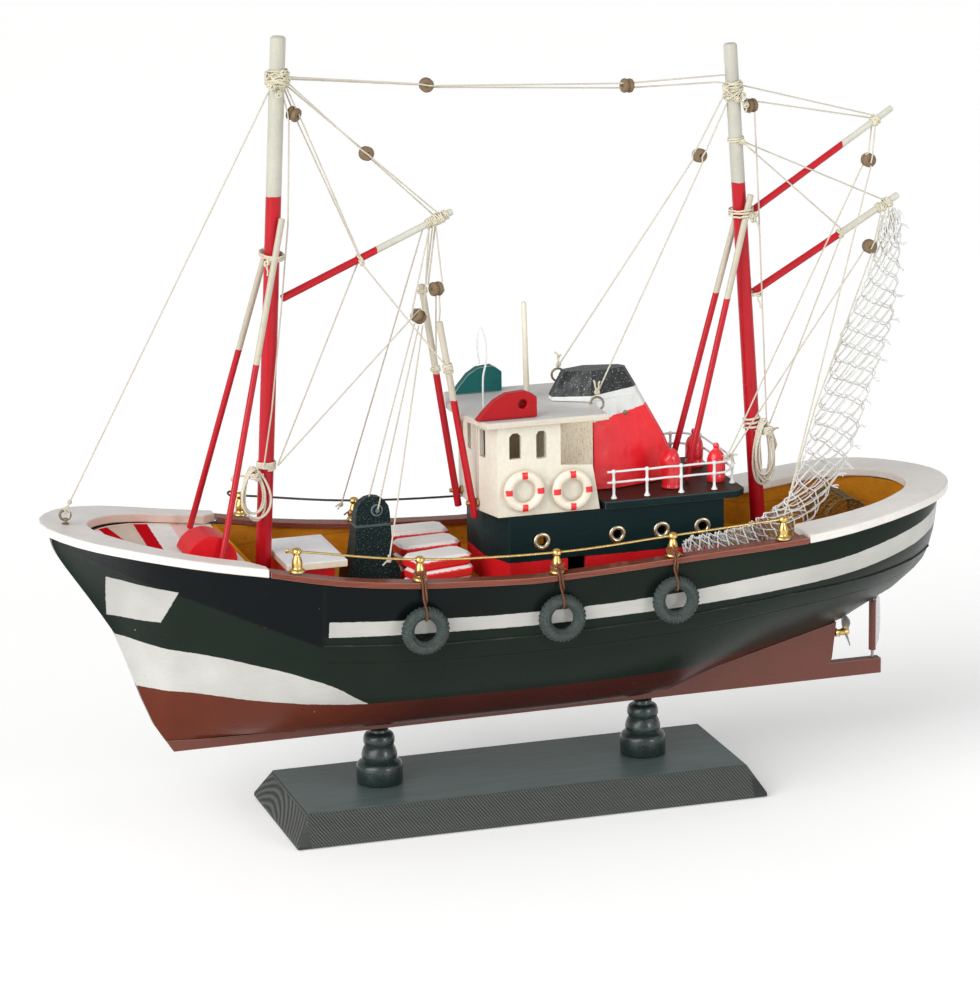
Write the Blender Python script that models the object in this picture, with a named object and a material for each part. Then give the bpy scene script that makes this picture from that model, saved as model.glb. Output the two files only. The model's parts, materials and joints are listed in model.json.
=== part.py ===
"""Wooden display model of a fishing trawler on its plinth.

Blender 4.5, metres. +X to the bow, +Y to port, +Z up, z = 0 under the plinth, x = 0 at the middle of the hull.
Sizes below are in millimetres as read from the photograph, and MM turns them into real metres.
"""

import math

import bmesh
import bpy
import numpy as np

# Real size: the readings give 407.4 mm over the cap rail, and the model is 410 mm long.
REAL_LENGTH = 410.0
READ_LENGTH = 407.4
MM = 0.001 * REAL_LENGTH / READ_LENGTH
GAP = 0.3  # between touching pieces

# Plinth and pillars
PLINTH_LENGTH, PLINTH_WIDTH, PLINTH_HEIGHT = 212.8, 77.0, 13.5
PLINTH_INSET = 7.2
PLINTH_EDGE = 1.75
PILLAR_X = (59.1, -62.0)
PILLAR_PROFILE = (
    (9.8, 0.0), (10.1, 0.4), (10.1, 7.4), (9.6, 8.9), (8.5, 9.9), (7.4, 10.3), (7.7, 11.4), (7.8, 12.6), (7.5, 14.2),
    (6.9, 15.8), (6.2, 16.8), (6.7, 17.6), (6.9, 19.2), (6.7, 20.9), (6.0, 22.1), (4.15, 22.6), (4.15, 23.9),
)

# Hull: each line is a table of stations from the stern to the bow
KEEL_HALF_WIDTH = 2.5
KEEL_BOTTOM_FORE, KEEL_BOTTOM_AFT = 37.8, 39.4
BOTTOM_X = (-198.8, -198.4, -197.5, -194.6, -189.7, -178.3, -169.7, -152.6, -128.8, -108.0, -86.3, -67.0,
            64.4, 139.0, 154.2, 158.6, 163.6, 170.1, 174.6, 181.5, 187.7, 194.7, 198.2, 199.5)
BOTTOM_Z = (114.0, 105.0, 98.3, 91.9, 86.7, 78.2, 74.3, 65.4, 59.3, 54.0, 48.4, 42.1,
            41.6, 42.6, 43.4, 50.4, 62.8, 82.0, 93.4, 104.6, 114.0, 124.6, 130.5, 135.0)
SHEER_X = (-204, -190, -180, -170, -160, -150, -140, -130, -120, -98, -69, -42, -27, -7, 5, 20, 46,
           59, 75, 89, 102, 117, 130, 140, 150, 160, 170, 180, 190, 204)
SHEER_Z = (125.4, 125.1, 124.8, 124.0, 122.8, 121.4, 119.9, 118.6, 117.5, 116.3, 115.1, 113.7, 113.0, 112.2,
           112.0, 112.6, 113.9, 114.9, 116.6, 118.5, 120.9, 124.1, 126.2, 127.9, 129.8, 131.8, 133.8, 135.6,
           137.3, 139.4)
BREADTH_X = (-198.8, -197.5, -194, -188, -180, -170, -160, -150, -140, -130, -120, -100, -80, -40, 0, 30, 60,
             90, 110, 120, 130, 140, 150, 160, 170, 180, 185, 190, 194, 197, 199.5)
BREADTH_Y = (2.6, 9, 18, 27.5, 35.5, 42, 46.4, 49.2, 51, 52, 52.6, 53.3, 53.8, 54, 54, 53.8, 53.3,
             52, 50.3, 49, 47.5, 45.8, 43.8, 41.3, 37.8, 32, 27.5, 21.5, 15.5, 9.5, 2.6)
# Share of the round midship section at each station: what is left is a V forward and a soft bilge aft.
ROUND_X = (-113, -85, -49, -20, 60, 100, 123, 145, 160)
ROUND_SHARE = (0.0, 0.45, 0.87, 1.0, 1.0, 0.92, 0.65, 0.15, 0.0)
HULL_STEPS = 12

# Deck and the well cut into the hull
DECK_Z = 103.0
DECK_THICK = 1.7
FOREDECK_DROP = 0.4  # under the sheer line
BREAK_X = 121.0
WELL_X = (-187, -183, -180, -175, -168, -160, -150, -140, -126, -108, 0, 60, 100, 121, 130, 140, 150, 160, 170,
          175, 180, 182)
WELL_Y = (3, 9.5, 15, 22.8, 29.5, 33.5, 35.4, 35.8, 36.2, 49.3, 50.4, 50.0, 47.5, 42.5, 39.8, 37.6, 34.6, 29.6,
          21.4, 16.0, 9.0, 3.0)

# Cap rail, seen from above: outer and inner edge at matching points
BOW_OUTER = ((118.3, 51.3), (130, 49.6), (140, 48.0), (150, 46.2), (160, 44.0), (170, 41.0), (180, 36.4),
             (187, 32.0), (193.5, 25.6), (199, 17.5), (202.6, 9.0), (203.9, 0))
BOW_INNER = ((118.3, 46.0), (124.5, 39.5), (134, 37.8), (143, 36.0), (152, 33.4), (160, 29.8), (167, 25.4),
             (172.5, 20.6), (177, 15.6), (180.6, 10.4), (182.7, 5.2), (183.4, 0))
STERN_OUTER = ((-119.9, 54.5), (-130, 54.3), (-140, 53.6), (-150, 52.2), (-160, 49.8), (-170, 45.8),
               (-180, 39.8), (-188, 33.0), (-195, 24.6), (-200, 16.0), (-202.7, 8.0), (-203.5, 0))
STERN_INNER = ((-119.9, 34.5), (-129, 34.4), (-138, 34.2), (-147, 33.6), (-156, 32.0), (-163.5, 29.2),
               (-170, 25.2), (-175.5, 20.6), (-179.6, 15.4), (-182.4, 10.0), (-183.7, 5.0), (-184, 0))
WAIST_X = (117.7, 102, 89, 75, 59, 46, 30, 5, -20, -42, -69, -98, -119.3)
WAIST_OUTER_Y = (51.4, 52.9, 54.0, 54.8, 55.3, 55.5, 55.7, 55.8, 55.8, 55.7, 55.5, 55.1, 54.5)
WAIST_WIDTH = 7.2
BOW_RAIL_THICK, WAIST_RAIL_THICK = 3.8, 2.6

# Stern gear
SHAFT_Z = 59.7
PROPELLER_X = -158.0
PROPELLER_RADIUS = 7.5
BLADES = 3
RUDDER_X = -171.2
RUDDER_TOP, RUDDER_BOTTOM = 72.6, 50.0
RUDDER_CHORD = 18.0
RUDDER_REST_DEG = 60.0  # trailing edge over to starboard, as in the photograph
SKEG_TOP = 46.4
SKEG_END_X = -174.5

# Spars: foot and head of each centre line, then the two radii
FOREMAST = ((109.2, 0, DECK_Z + GAP), (95.6, 0, 341.6), 3.4, 3.3)
AFT_MAST = ((-117.0, 0, DECK_Z + GAP), (-103.3, 0, 327.3), 3.3, 2.95)
LEG_RADIUS = 1.4
FORE_LEG = ((133.4, 29.2, 127.2), (97.3, 5.1, 266.0))
AFT_LEG = ((-78.9, 10.5, 138.9), (-111.0, 4.9, 262.0))
FORE_BOOM = ((97.2, 0, 230.9), (21.9, 0, 263.0), 1.7, 1.5)
AFT_BOOM_HIGH = ((-111.6, 0, 252.7), (-178.1, 0, 294.8), 1.6, 1.4)
AFT_BOOM_LOW = ((-113.9, 0, 217.9), (-181.4, 0, 256.3), 1.7, 1.5)
DERRICK_PORT = ((18.0, 13.5, 132.0), (32.4, 13.5, 218.8), 1.6, 1.5)
DERRICK_STARBOARD = ((18.4, -10.0, 131.4), (33.2, -10.0, 230.4), 1.6, 1.5)

# Deckhouse
HOUSE_X = (-89.3, 7.9)
HOUSE_HALF = 30.0
HOUSE_TOP = 134.8
HOUSE_NOSE = 6.0
HOUSE_WALL = 2.6
HOUSE_FOOT_TOP = 114.6
PORTHOLE_X = (-6.8, -40.7, -60.9, -79.5)
PORTHOLE_Z = 123.3
PORTHOLE_RADIUS = 2.0
DOOR_X = (-26.4, -18.3)
DOOR_TOP = 115.2
SLAB_X = (-99.4, -34.6)
SLAB_HALF = 32.2
SLAB_THICK = 3.3
WHEEL_PLAN = ((12.4, 29.5), (16.4, 14.0))  # port corner and knuckle of the front
WHEEL_BOTTOM, WHEEL_TOP = 135.1, 174.4
WHEEL_WALL = 2.2
WHEEL_AFT_X = -33.8
WHEEL_SIDE_END_X = -15.8
TRUNK_HALF = 11.3  # closed trunk between the wheelhouse and the funnel casing
TRUNK_X = (-36.2, -14.0)
WING_TOP = 156.0
ROOF_PLAN = ((17.6, 32.6), (22.6, 12.5))
ROOF_AFT_X = -36.5
ROOF_THICK = 2.6
SIDE_WINDOWS = ((1.9, 7.1, 160.2, 171.4), (-9.4, -4.9, 159.8, 171.6))
FUNNEL_LEVELS = (
    # height, front x, shoulder x, aft x, half breadth at the shoulder
    (138.9, -36.6, -47.0, -80.4, 12.0),
    (158.0, -36.6, -44.0, -72.6, 11.6),
    (177.9, -36.6, -40.0, -61.6, 10.6),
)
FUNNEL_HEAD = (
    (177.9, -20.5, -36.0, -61.6, 10.4),
    (180.2, -20.9, -36.0, -60.4, 10.0),
    (190.2, -26.6, -37.6, -54.6, 6.4),
)

# Deck fittings
HATCH_X = (77.0, 103.6)
HATCH_HALF = 22.0
HATCH_TOP = 121.2
WINCH_X, WINCH_Y = 62.2, 1.5
WINCH_TOP = 144.4
WINCH_LEAN = 12.5  # how far the casing's starboard face leans to port at the top
COMPANION_MIDDLE, COMPANION_RADIUS = (136.6, 126.2), 11.2
COMPANION_Y = (5.5, 25.5)  # it stands off the middle line, towards port
BOX_LENGTH, BOX_WIDTH, BOX_HEIGHT = 28.0, 16.0, 4.9
BOX_STACKS = ((32.6, -30.5, 0.0), (33.6, -9.0, 6.0), (35.4, 14.0, 14.0))
BOTTLE_X, BOTTLE_Y = -91.6, 14.0
VENT_X, VENT_Y = -70.0, 17.6
LIFE_RINGS = ((1.4, 146.4), (-20.1, 145.1))
BOLLARD_X = (106.0, 53.9, -6.0, -57.9, -108.4)
TYRES = ((53.4, 97.1), (-6.6, 96.7), (-57.5, 99.7))
TYRE_OUTER, TYRE_HOLE, TYRE_THICK = 10.3, 4.8, 6.2
# Net: centre, then the half sizes of its oval section along x, y and z
NET_STATIONS = (
    (-179.6, 0.0, 252.9, 1.2, 0.8, -0.3), (-178.1, 0.5, 245.7, 4.2, 1.2, -1.0),
    (-173.3, 4.0, 222.2, 7.3, 1.8, -2.0), (-162.1, 8.5, 195.8, 10.5, 2.4, -3.0),
    (-154.1, 13.0, 176.8, 11.0, 2.8, -3.0), (-146.3, 17.5, 160.0, 11.0, 3.2, -2.0),
    (-137.5, 23.0, 143.0, 10.5, 3.4, 0.5), (-128.5, 26.0, 130.5, 9.5, 3.4, 3.5),
    (-120.5, 29.3, 121.5, 7.0, 3.6, 8.0), (-112.0, 34.6, 117.0, 3.5, 3.9, 11.0),
    (-100.0, 39.8, 114.6, 1.0, 4.6, 10.9), (-84.0, 41.6, 113.8, 0.0, 4.8, 10.1),
    (-66.0, 42.2, 112.4, 0.0, 4.2, 8.8),
)
RAIL_POST_X = (-39.8, -54.8, -70.4, -85.5, -96.6)


def clear_scene():
    for obj in list(bpy.data.objects):
        bpy.data.objects.remove(obj, do_unlink=True)


def make_material(name, colour, roughness=0.5, metallic=0.0):
    material = bpy.data.materials.new(name)
    material.use_nodes = True
    shader = material.node_tree.nodes["Principled BSDF"]
    shader.inputs["Base Color"].default_value = (*colour, 1.0)
    shader.inputs["Roughness"].default_value = roughness
    shader.inputs["Metallic"].default_value = metallic
    material.diffuse_color = (*colour, 1.0)
    return material


def finish(name, bm, material):
    """Turns a bmesh in millimetres into an object in metres with outward faces."""
    bmesh.ops.remove_doubles(bm, verts=bm.verts, dist=1e-4)
    bmesh.ops.recalc_face_normals(bm, faces=bm.faces)
    bmesh.ops.scale(bm, vec=(MM, MM, MM), verts=bm.verts)
    if bm.calc_volume(signed=True) < 0:
        bmesh.ops.reverse_faces(bm, faces=bm.faces)
    mesh = bpy.data.meshes.new(name)
    bm.to_mesh(mesh)
    bm.free()
    obj = bpy.data.objects.new(name, mesh)
    bpy.context.scene.collection.objects.link(obj)
    obj.data.materials.append(material)
    return obj


def loft(name, rings, material, closed=False):
    """Skins rings of matching points. An open loft gets a cap at each end."""
    bm = bmesh.new()
    made = [[bm.verts.new(point) for point in ring] for ring in rings]
    count = len(made[0])
    pairs = list(zip(made, made[1:]))
    if closed:
        pairs.append((made[-1], made[0]))
    for first, second in pairs:
        for i in range(count):
            j = (i + 1) % count
            bm.faces.new((first[i], first[j], second[j], second[i]))
    if not closed:
        bm.faces.new(made[0][::-1])
        bm.faces.new(made[-1])
    return finish(name, bm, material)


def axis_frame(direction):
    w = np.array(direction, float)
    w /= np.linalg.norm(w)
    u = np.cross((0, 0, 1) if abs(w[2]) < 0.9 else (1, 0, 0), w)
    u /= np.linalg.norm(u)
    return u, np.cross(w, u), w


def ring_at(centre, u, v, radius, sides, turn=0.0):
    angles = [turn + 2 * math.pi * i / sides for i in range(sides)]
    return [np.array(centre) + radius * (math.cos(a) * u + math.sin(a) * v) for a in angles]


def lathe(name, foot, direction, profile, material, sides=24):
    """profile holds (radius, distance along the axis) from the foot."""
    u, v, w = axis_frame(direction)
    foot = np.array(foot, float)
    return loft(name, [ring_at(foot + s * w, u, v, r, sides) for r, s in profile], material)


def rod(name, foot, head, r_foot, r_head, material, sides=12):
    """A round spar with slightly eased ends."""
    length = math.dist(foot, head)
    ease_foot, ease_head = 0.25 * r_foot, 0.25 * r_head
    profile = ((r_foot - ease_foot, 0), (r_foot, ease_foot), (r_head, length - ease_head),
               (r_head - ease_head, length))
    return lathe(name, foot, np.subtract(head, foot), profile, material, sides)


def tube(name, points, radius, material, sides=6, closed=False):
    """A wire through the given points."""
    points = [np.array(p, float) for p in points]
    count = len(points)
    rings = []
    for i, point in enumerate(points):
        before = points[i - 1] if (i > 0 or closed) else points[i]
        after = points[(i + 1) % count] if (i < count - 1 or closed) else points[i]
        u, v, w = axis_frame(after - before)
        rings.append(ring_at(point, u, v, radius, sides, math.pi / sides))
    return loft(name, rings, material, closed)


def prism(name, outline, low, high, material, along="z"):
    """Extrudes an outline: (x, y) along z, (x, z) along y, or (y, z) along x."""
    place = {
        "z": lambda p, t: (p[0], p[1], t),
        "y": lambda p, t: (p[0], t, p[1]),
        "x": lambda p, t: (t, p[0], p[1]),
    }[along]
    return loft(name, [[place(p, t) for p in outline] for t in (low, high)], material)


def box(name, x, y, z, material):
    return prism(name, ((x[0], y[0]), (x[1], y[0]), (x[1], y[1]), (x[0], y[1])), z[0], z[1], material)


def turned_ring(name, centre, direction, profile, material, sides=28):
    """A ring with a closed section: profile holds (radius, distance along the axis)."""
    u, v, w = axis_frame(direction)
    centre = np.array(centre, float)
    rings = []
    for i in range(sides):
        a = 2 * math.pi * i / sides
        out = math.cos(a) * u + math.sin(a) * v
        rings.append([centre + r * out + s * w for r, s in profile])
    return loft(name, rings, material, closed=True)


def cut(target, tool):
    """Subtracts a tool, which stays in the file as a hidden cutter."""
    tool.hide_render = True
    tool.display_type = "WIRE"
    modifier = target.modifiers.new("cut_" + tool.name, "BOOLEAN")
    modifier.operation = "DIFFERENCE"
    modifier.solver = "EXACT"
    modifier.object = tool


def weld(name, pieces):
    """Joins overlapping pieces into one body."""
    body = pieces[0]
    for tool in pieces[1:]:
        modifier = body.modifiers.new("join", "BOOLEAN")
        modifier.operation = "UNION"
        modifier.solver = "EXACT"
        modifier.object = tool
    bpy.context.view_layer.update()
    graph = bpy.context.evaluated_depsgraph_get()
    mesh = bpy.data.meshes.new_from_object(body.evaluated_get(graph))
    body.modifiers.clear()
    body.data = mesh
    for tool in pieces[1:]:
        bpy.data.objects.remove(tool, do_unlink=True)
    body.name = name
    mesh.name = name
    return body


def move_origin(obj, point):
    """Puts the object's origin on a joint axis without moving its shape."""
    place = np.array(point, float) * MM
    for vertex in obj.data.vertices:
        vertex.co = [vertex.co[i] - place[i] for i in range(3)]
    obj.location = place


def mirror_y(point):
    return (point[0], -point[1], point[2])


def sheer(x):
    return float(np.interp(x, SHEER_X, SHEER_Z))


def half_breadth(x, z):
    """The hull's half breadth at a station and a height."""
    low = float(np.interp(x, BOTTOM_X, BOTTOM_Z))
    high = sheer(x)
    full = float(np.interp(x, BREADTH_X, BREADTH_Y))
    t = min(max((z - low) / (high - low), 0.0), 1.0)
    midship = (1 - (1 - t) ** 2.2) ** (1 / 1.9)
    share = float(np.interp(x, ROUND_X, ROUND_SHARE))
    other = t ** 1.35 if x > 0 else 2 * t - t * t
    return KEEL_HALF_WIDTH + (full - KEEL_HALF_WIDTH) * (share * midship + (1 - share) * other)


def hull_section(x):
    low = float(np.interp(x, BOTTOM_X, BOTTOM_Z))
    high = sheer(x)
    steps = [(i / HULL_STEPS) ** 1.35 for i in range(HULL_STEPS + 1)]
    port = [(x, half_breadth(x, low + (high - low) * t), low + (high - low) * t) for t in steps]
    starboard = [mirror_y(p) for p in port[::-1]]
    return port + starboard


def well_section(x, low, high):
    y = float(np.interp(x, WELL_X, WELL_Y))
    return ((x, y, low), (x, y, high), (x, -y, high), (x, -y, low))


def build_hull(material):
    stations = [-198.8, -198.1, -196.5, -194, -190, -185, -179, -172, -164, -155, -145, -135, -125, -113, -100,
                -85, -70, -55, -38, -20, 0, 20, 38, 55, 70, 85, 100, 112, 123, 134, 144, 151, 154.2, 158.6, 163.6, 170.1, 174.6,
                180, 185, 190, 194, 197, 198.7, 199.5]
    hull = loft("hull", [hull_section(x) for x in stations], material)
    floor = DECK_Z - DECK_THICK - GAP
    main = [x for x in WELL_X if x < 100] + [100, BREAK_X]
    cutter = loft("cutter_main_well", [well_section(x, floor, 150) for x in main], material)
    cut(hull, cutter)
    fore = [BREAK_X - 0.5, 130, 140, 150, 160, 170, 175, 180, 182]
    floor_drop = FOREDECK_DROP + DECK_THICK + GAP
    cutter = loft("cutter_fore_well", [well_section(x, sheer(x) - floor_drop, 150) for x in fore], material)
    cut(hull, cutter)
    return hull


def build_decks(main_material, fore_material):
    stations = [x for x in WELL_X if -187 < x < 100] + [100, BREAK_X - GAP]
    rings = []
    for x in [-186.4] + stations[0:]:
        y = float(np.interp(x, WELL_X, WELL_Y)) - GAP
        low, high = DECK_Z - DECK_THICK, DECK_Z
        rings.append(((x, y, low), (x, y, high), (x, -y, high), (x, -y, low)))
    loft("main_deck", rings, main_material)
    rings = []
    for x in (BREAK_X, 130, 140, 150, 160, 170, 175, 180, 181.4):
        y = float(np.interp(x, WELL_X, WELL_Y)) - GAP
        high = sheer(x) - FOREDECK_DROP
        rings.append(((x, y, high - DECK_THICK), (x, y, high), (x, -y, high), (x, -y, high - DECK_THICK)))
    foredeck = loft("foredeck", rings, fore_material)
    z = sheer(BREAK_X) - FOREDECK_DROP - 0.4
    y = float(np.interp(BREAK_X, WELL_X, WELL_Y)) - GAP
    face = box("break_face", (BREAK_X - 2.0, BREAK_X - 0.001), (-y, y), (DECK_Z + GAP, z), fore_material)
    lip = box("break_lip", (BREAK_X - 2.0, BREAK_X + 0.8), (-y, y), (z - 1.0, z + 0.2), fore_material)
    weld("foredeck", [foredeck, face, lip])


def build_keel(material):
    """Keel bar, skeg under the propeller and deadwood, as one plank on edge."""
    top = [(x, float(np.interp(x, BOTTOM_X, BOTTOM_Z)) - GAP)
           for x in (-152.9, -128.8, -108.0, -86.3, -67.0, 64.4, 139.0, 154.0)]
    outline = [(150.6, KEEL_BOTTOM_FORE), top[-1]] + top[-2::-1]
    outline += [(-151.5, 53.5), (-150.9, 48.4), (-149.4, SKEG_TOP), (SKEG_END_X, SKEG_TOP),
                (SKEG_END_X, KEEL_BOTTOM_AFT)]
    return prism("keel", outline, -KEEL_HALF_WIDTH, KEEL_HALF_WIDTH, material, along="y")


def rail_ring(outer, inner, side, thick):
    """The four corners of a cap rail where it crosses one outer and one inner point."""
    low_o, low_i = sheer(outer[0]) + GAP, sheer(inner[0]) + GAP
    return ((outer[0], side * outer[1], low_o), (outer[0], side * outer[1], low_o + thick),
            (inner[0], side * inner[1], low_i + thick), (inner[0], side * inner[1], low_i))


def waist_outer(x):
    return float(np.interp(-x, [-v for v in WAIST_X], WAIST_OUTER_Y))


def build_cap_rails(white, brown):
    for name, outer, inner in (("cap_rail_bow", BOW_OUTER, BOW_INNER),
                               ("cap_rail_stern", STERN_OUTER, STERN_INNER)):
        rings = [rail_ring(o, i, 1, BOW_RAIL_THICK) for o, i in zip(outer, inner)]
        rings += [rail_ring(o, i, -1, BOW_RAIL_THICK) for o, i in zip(outer[-2::-1], inner[-2::-1])]
        loft(name, rings, white)
    for name, side in (("cap_rail_port", 1), ("cap_rail_starboard", -1)):
        stations = sorted(set(WAIST_X) | {x for x in SHEER_X if WAIST_X[-1] < x < WAIST_X[0]}, reverse=True)
        rings = [rail_ring((x, waist_outer(x)), (x, waist_outer(x) - WAIST_WIDTH), side, WAIST_RAIL_THICK)
                 for x in stations]
        loft(name, rings, brown)


def build_stand(material):
    rings = []
    for z, inset in ((0, 0), (PLINTH_EDGE, 0), (PLINTH_HEIGHT, PLINTH_INSET)):
        x, y = PLINTH_LENGTH / 2 - inset, PLINTH_WIDTH / 2 - inset
        rings.append(((-x, -y, z), (x, -y, z), (x, y, z), (-x, y, z)))
    loft("plinth", rings, material)
    for name, x in (("pillar_fore", PILLAR_X[0]), ("pillar_aft", PILLAR_X[1])):
        share = (x - SKEG_END_X) / (150.6 - SKEG_END_X)
        keel = KEEL_BOTTOM_AFT + share * (KEEL_BOTTOM_FORE - KEEL_BOTTOM_AFT)
        profile = list(PILLAR_PROFILE[:-1]) + [(PILLAR_PROFILE[-1][0], keel - PLINTH_HEIGHT - 2 * GAP - 0.05)]
        lathe(name, (x, 0, PLINTH_HEIGHT + GAP), (0, 0, 1), profile, material, 20)


def build_propeller(bronze, brass):
    hub = lathe("hub", (PROPELLER_X - 1.9, 0, SHAFT_Z), (1, 0, 0),
                ((0.6, 0), (1.3, 0.3), (1.6, 1.0), (1.6, 3.6), (1.3, 4.0), (1.3, 5.15)), brass, 16)
    pieces = [hub]
    for k in range(BLADES):
        turn = math.radians(80 + 360 * k / BLADES)
        rings = []
        for share, chord, pitch in ((0.1, 2.2, 62), (0.35, 4.2, 50), (0.65, 5.6, 38), (0.88, 4.8, 32),
                                    (1.0, 2.2, 28)):
            r = share * PROPELLER_RADIUS
            a = math.radians(pitch)
            ring = []
            for s, t in ((-0.5, 0.0), (-0.25, 0.28), (0.25, 0.28), (0.5, 0.0), (0.25, -0.28), (-0.25, -0.28)):
                along = s * chord * math.cos(a) + t * math.sin(a)
                across = s * chord * math.sin(a) - t * math.cos(a)
                y = r * math.cos(turn) - along * math.sin(turn)
                z = r * math.sin(turn) + along * math.cos(turn)
                ring.append((PROPELLER_X + across * 0.8, y, SHAFT_Z + z))
            rings.append(ring)
        pieces.append(loft("blade", rings, bronze))
    propeller = weld("propeller", pieces)
    move_origin(propeller, (PROPELLER_X, 0, SHAFT_Z))
    profile = ((1.2, 0), (2.0, 0.3), (2.0, 1.0), (1.3, 1.3), (1.3, 1.6))
    stern_tube = lathe("stern_tube", (-152.85, 0, SHAFT_Z), (-1, 0, 0), profile, brass, 16)
    return propeller, stern_tube


def build_rudder(wood, metal):
    """Stock, blade and pin as one body, turned to its rest angle about the stock."""
    z0, z1 = RUDDER_BOTTOM, RUDDER_TOP
    outline = ((1.2, z0), (1.2, z1), (-0.6, z1), (-9.0, z1 + 0.2), (-15.0, z1 - 2.5), (-17.4, z1 - 7.5),
               (-RUDDER_CHORD, z1 - 13.0), (-16.6, z0 + 4.5), (-12.5, z0 + 1.0), (-7.0, z0))
    blade = prism("blade", outline, -1.1, 1.1, wood, along="y")
    stock = lathe("stock", (0, 0, z0), (0, 0, 1), ((1.75, 0), (1.75, z1 - z0)), wood, 12)
    pin = lathe("pin", (0, 0, SKEG_TOP + GAP), (0, 0, 1), ((0.7, 0), (0.7, z1 - SKEG_TOP + 0.9)), metal, 8)
    rudder = weld("rudder", [stock, blade, pin])
    turn = math.radians(RUDDER_REST_DEG)
    for vertex in rudder.data.vertices:
        x, y = vertex.co.x, vertex.co.y
        vertex.co.x = x * math.cos(turn) - y * math.sin(turn)
        vertex.co.y = x * math.sin(turn) + y * math.cos(turn)
        vertex.co.z -= MM * RUDDER_BOTTOM
    rudder.location = (MM * RUDDER_X, 0, MM * RUDDER_BOTTOM)
    return rudder


def on_line(line, z):
    (x0, y0, z0), (x1, y1, z1) = line[0], line[1]
    t = (z - z0) / (z1 - z0)
    return (x0 + t * (x1 - x0), y0 + t * (y1 - y0), z)


def build_spars(red):
    rod("foremast", *FOREMAST, red, 16)
    rod("aft_mast", *AFT_MAST, red, 16)
    for side, word in ((1, "port"), (-1, "starboard")):
        for name, (foot, head) in (("fore_leg_", FORE_LEG), ("aft_leg_", AFT_LEG)):
            ends = [(x, side * y, z) for x, y, z in (foot, head)]
            rod(name + word, *ends, LEG_RADIUS, LEG_RADIUS, red)
    rod("fore_boom", *FORE_BOOM, red)
    rod("aft_boom_upper", *AFT_BOOM_HIGH, red)
    rod("aft_boom_lower", *AFT_BOOM_LOW, red)


def build_derricks(red, brass):
    """Each small derrick stands on a brass pivot that reaches back to the wheelhouse front."""
    for name, (foot, head, r0, r1) in (("derrick_port", DERRICK_PORT), ("derrick_starboard", DERRICK_STARBOARD)):
        spar = rod("spar", foot, head, r0, r1, red)
        x, y, z = on_line((foot, head), 138.6)
        pivot = lathe("pivot", (WHEEL_PLAN[1][0] + GAP, y, z), (1, 0, 0),
                      ((2.0, 0), (2.0, 0.8), (0.9, 1.2), (0.9, x - WHEEL_PLAN[1][0] - GAP + r0 + 1.2)), brass, 10)
        weld(name, [spar, pivot])


def front_plan(plan, aft, inset=0.0):
    """A plan with a three-sided front, as drawn from the port corner and the knuckle."""
    (xc, yc), (xk, yk) = plan
    port = [(aft, yc - inset), (xc - inset * 0.7, yc - inset), (xk - inset, yk - inset * 0.35)]
    return port + [(x, -y) for x, y in port[::-1]]


def build_lower_house(black):
    plan = ((HOUSE_X[1], HOUSE_HALF), (HOUSE_X[1] + HOUSE_NOSE, 12.5))
    house = prism("lower_house", front_plan(plan, HOUSE_X[0]), DECK_Z + GAP, HOUSE_TOP, black)
    inside = front_plan(plan, HOUSE_X[0] + HOUSE_WALL, HOUSE_WALL)
    cut(house, prism("cutter_house_room", inside, DECK_Z - 2, HOUSE_TOP - HOUSE_WALL, black))
    for k, x in enumerate(PORTHOLE_X):
        tool = lathe("cutter_porthole_%d" % k, (x, -40, PORTHOLE_Z), (0, 1, 0),
                     ((PORTHOLE_RADIUS, 0), (PORTHOLE_RADIUS, 80)), black, 12)
        cut(house, tool)
    cut(house, box("cutter_door", DOOR_X, (-40, 40), (DECK_Z - 1, DOOR_TOP), black))
    return house


def build_upper_deck(black):
    corner = 4.5
    x0, x1 = SLAB_X
    outline = ((x1, -SLAB_HALF), (x1, SLAB_HALF), (x0 + corner, SLAB_HALF), (x0, SLAB_HALF - corner),
               (x0, corner - SLAB_HALF), (x0 + corner, -SLAB_HALF))
    low = HOUSE_TOP + GAP
    slab = prism("upper_deck", outline, low, low + SLAB_THICK, black)
    return slab


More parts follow.
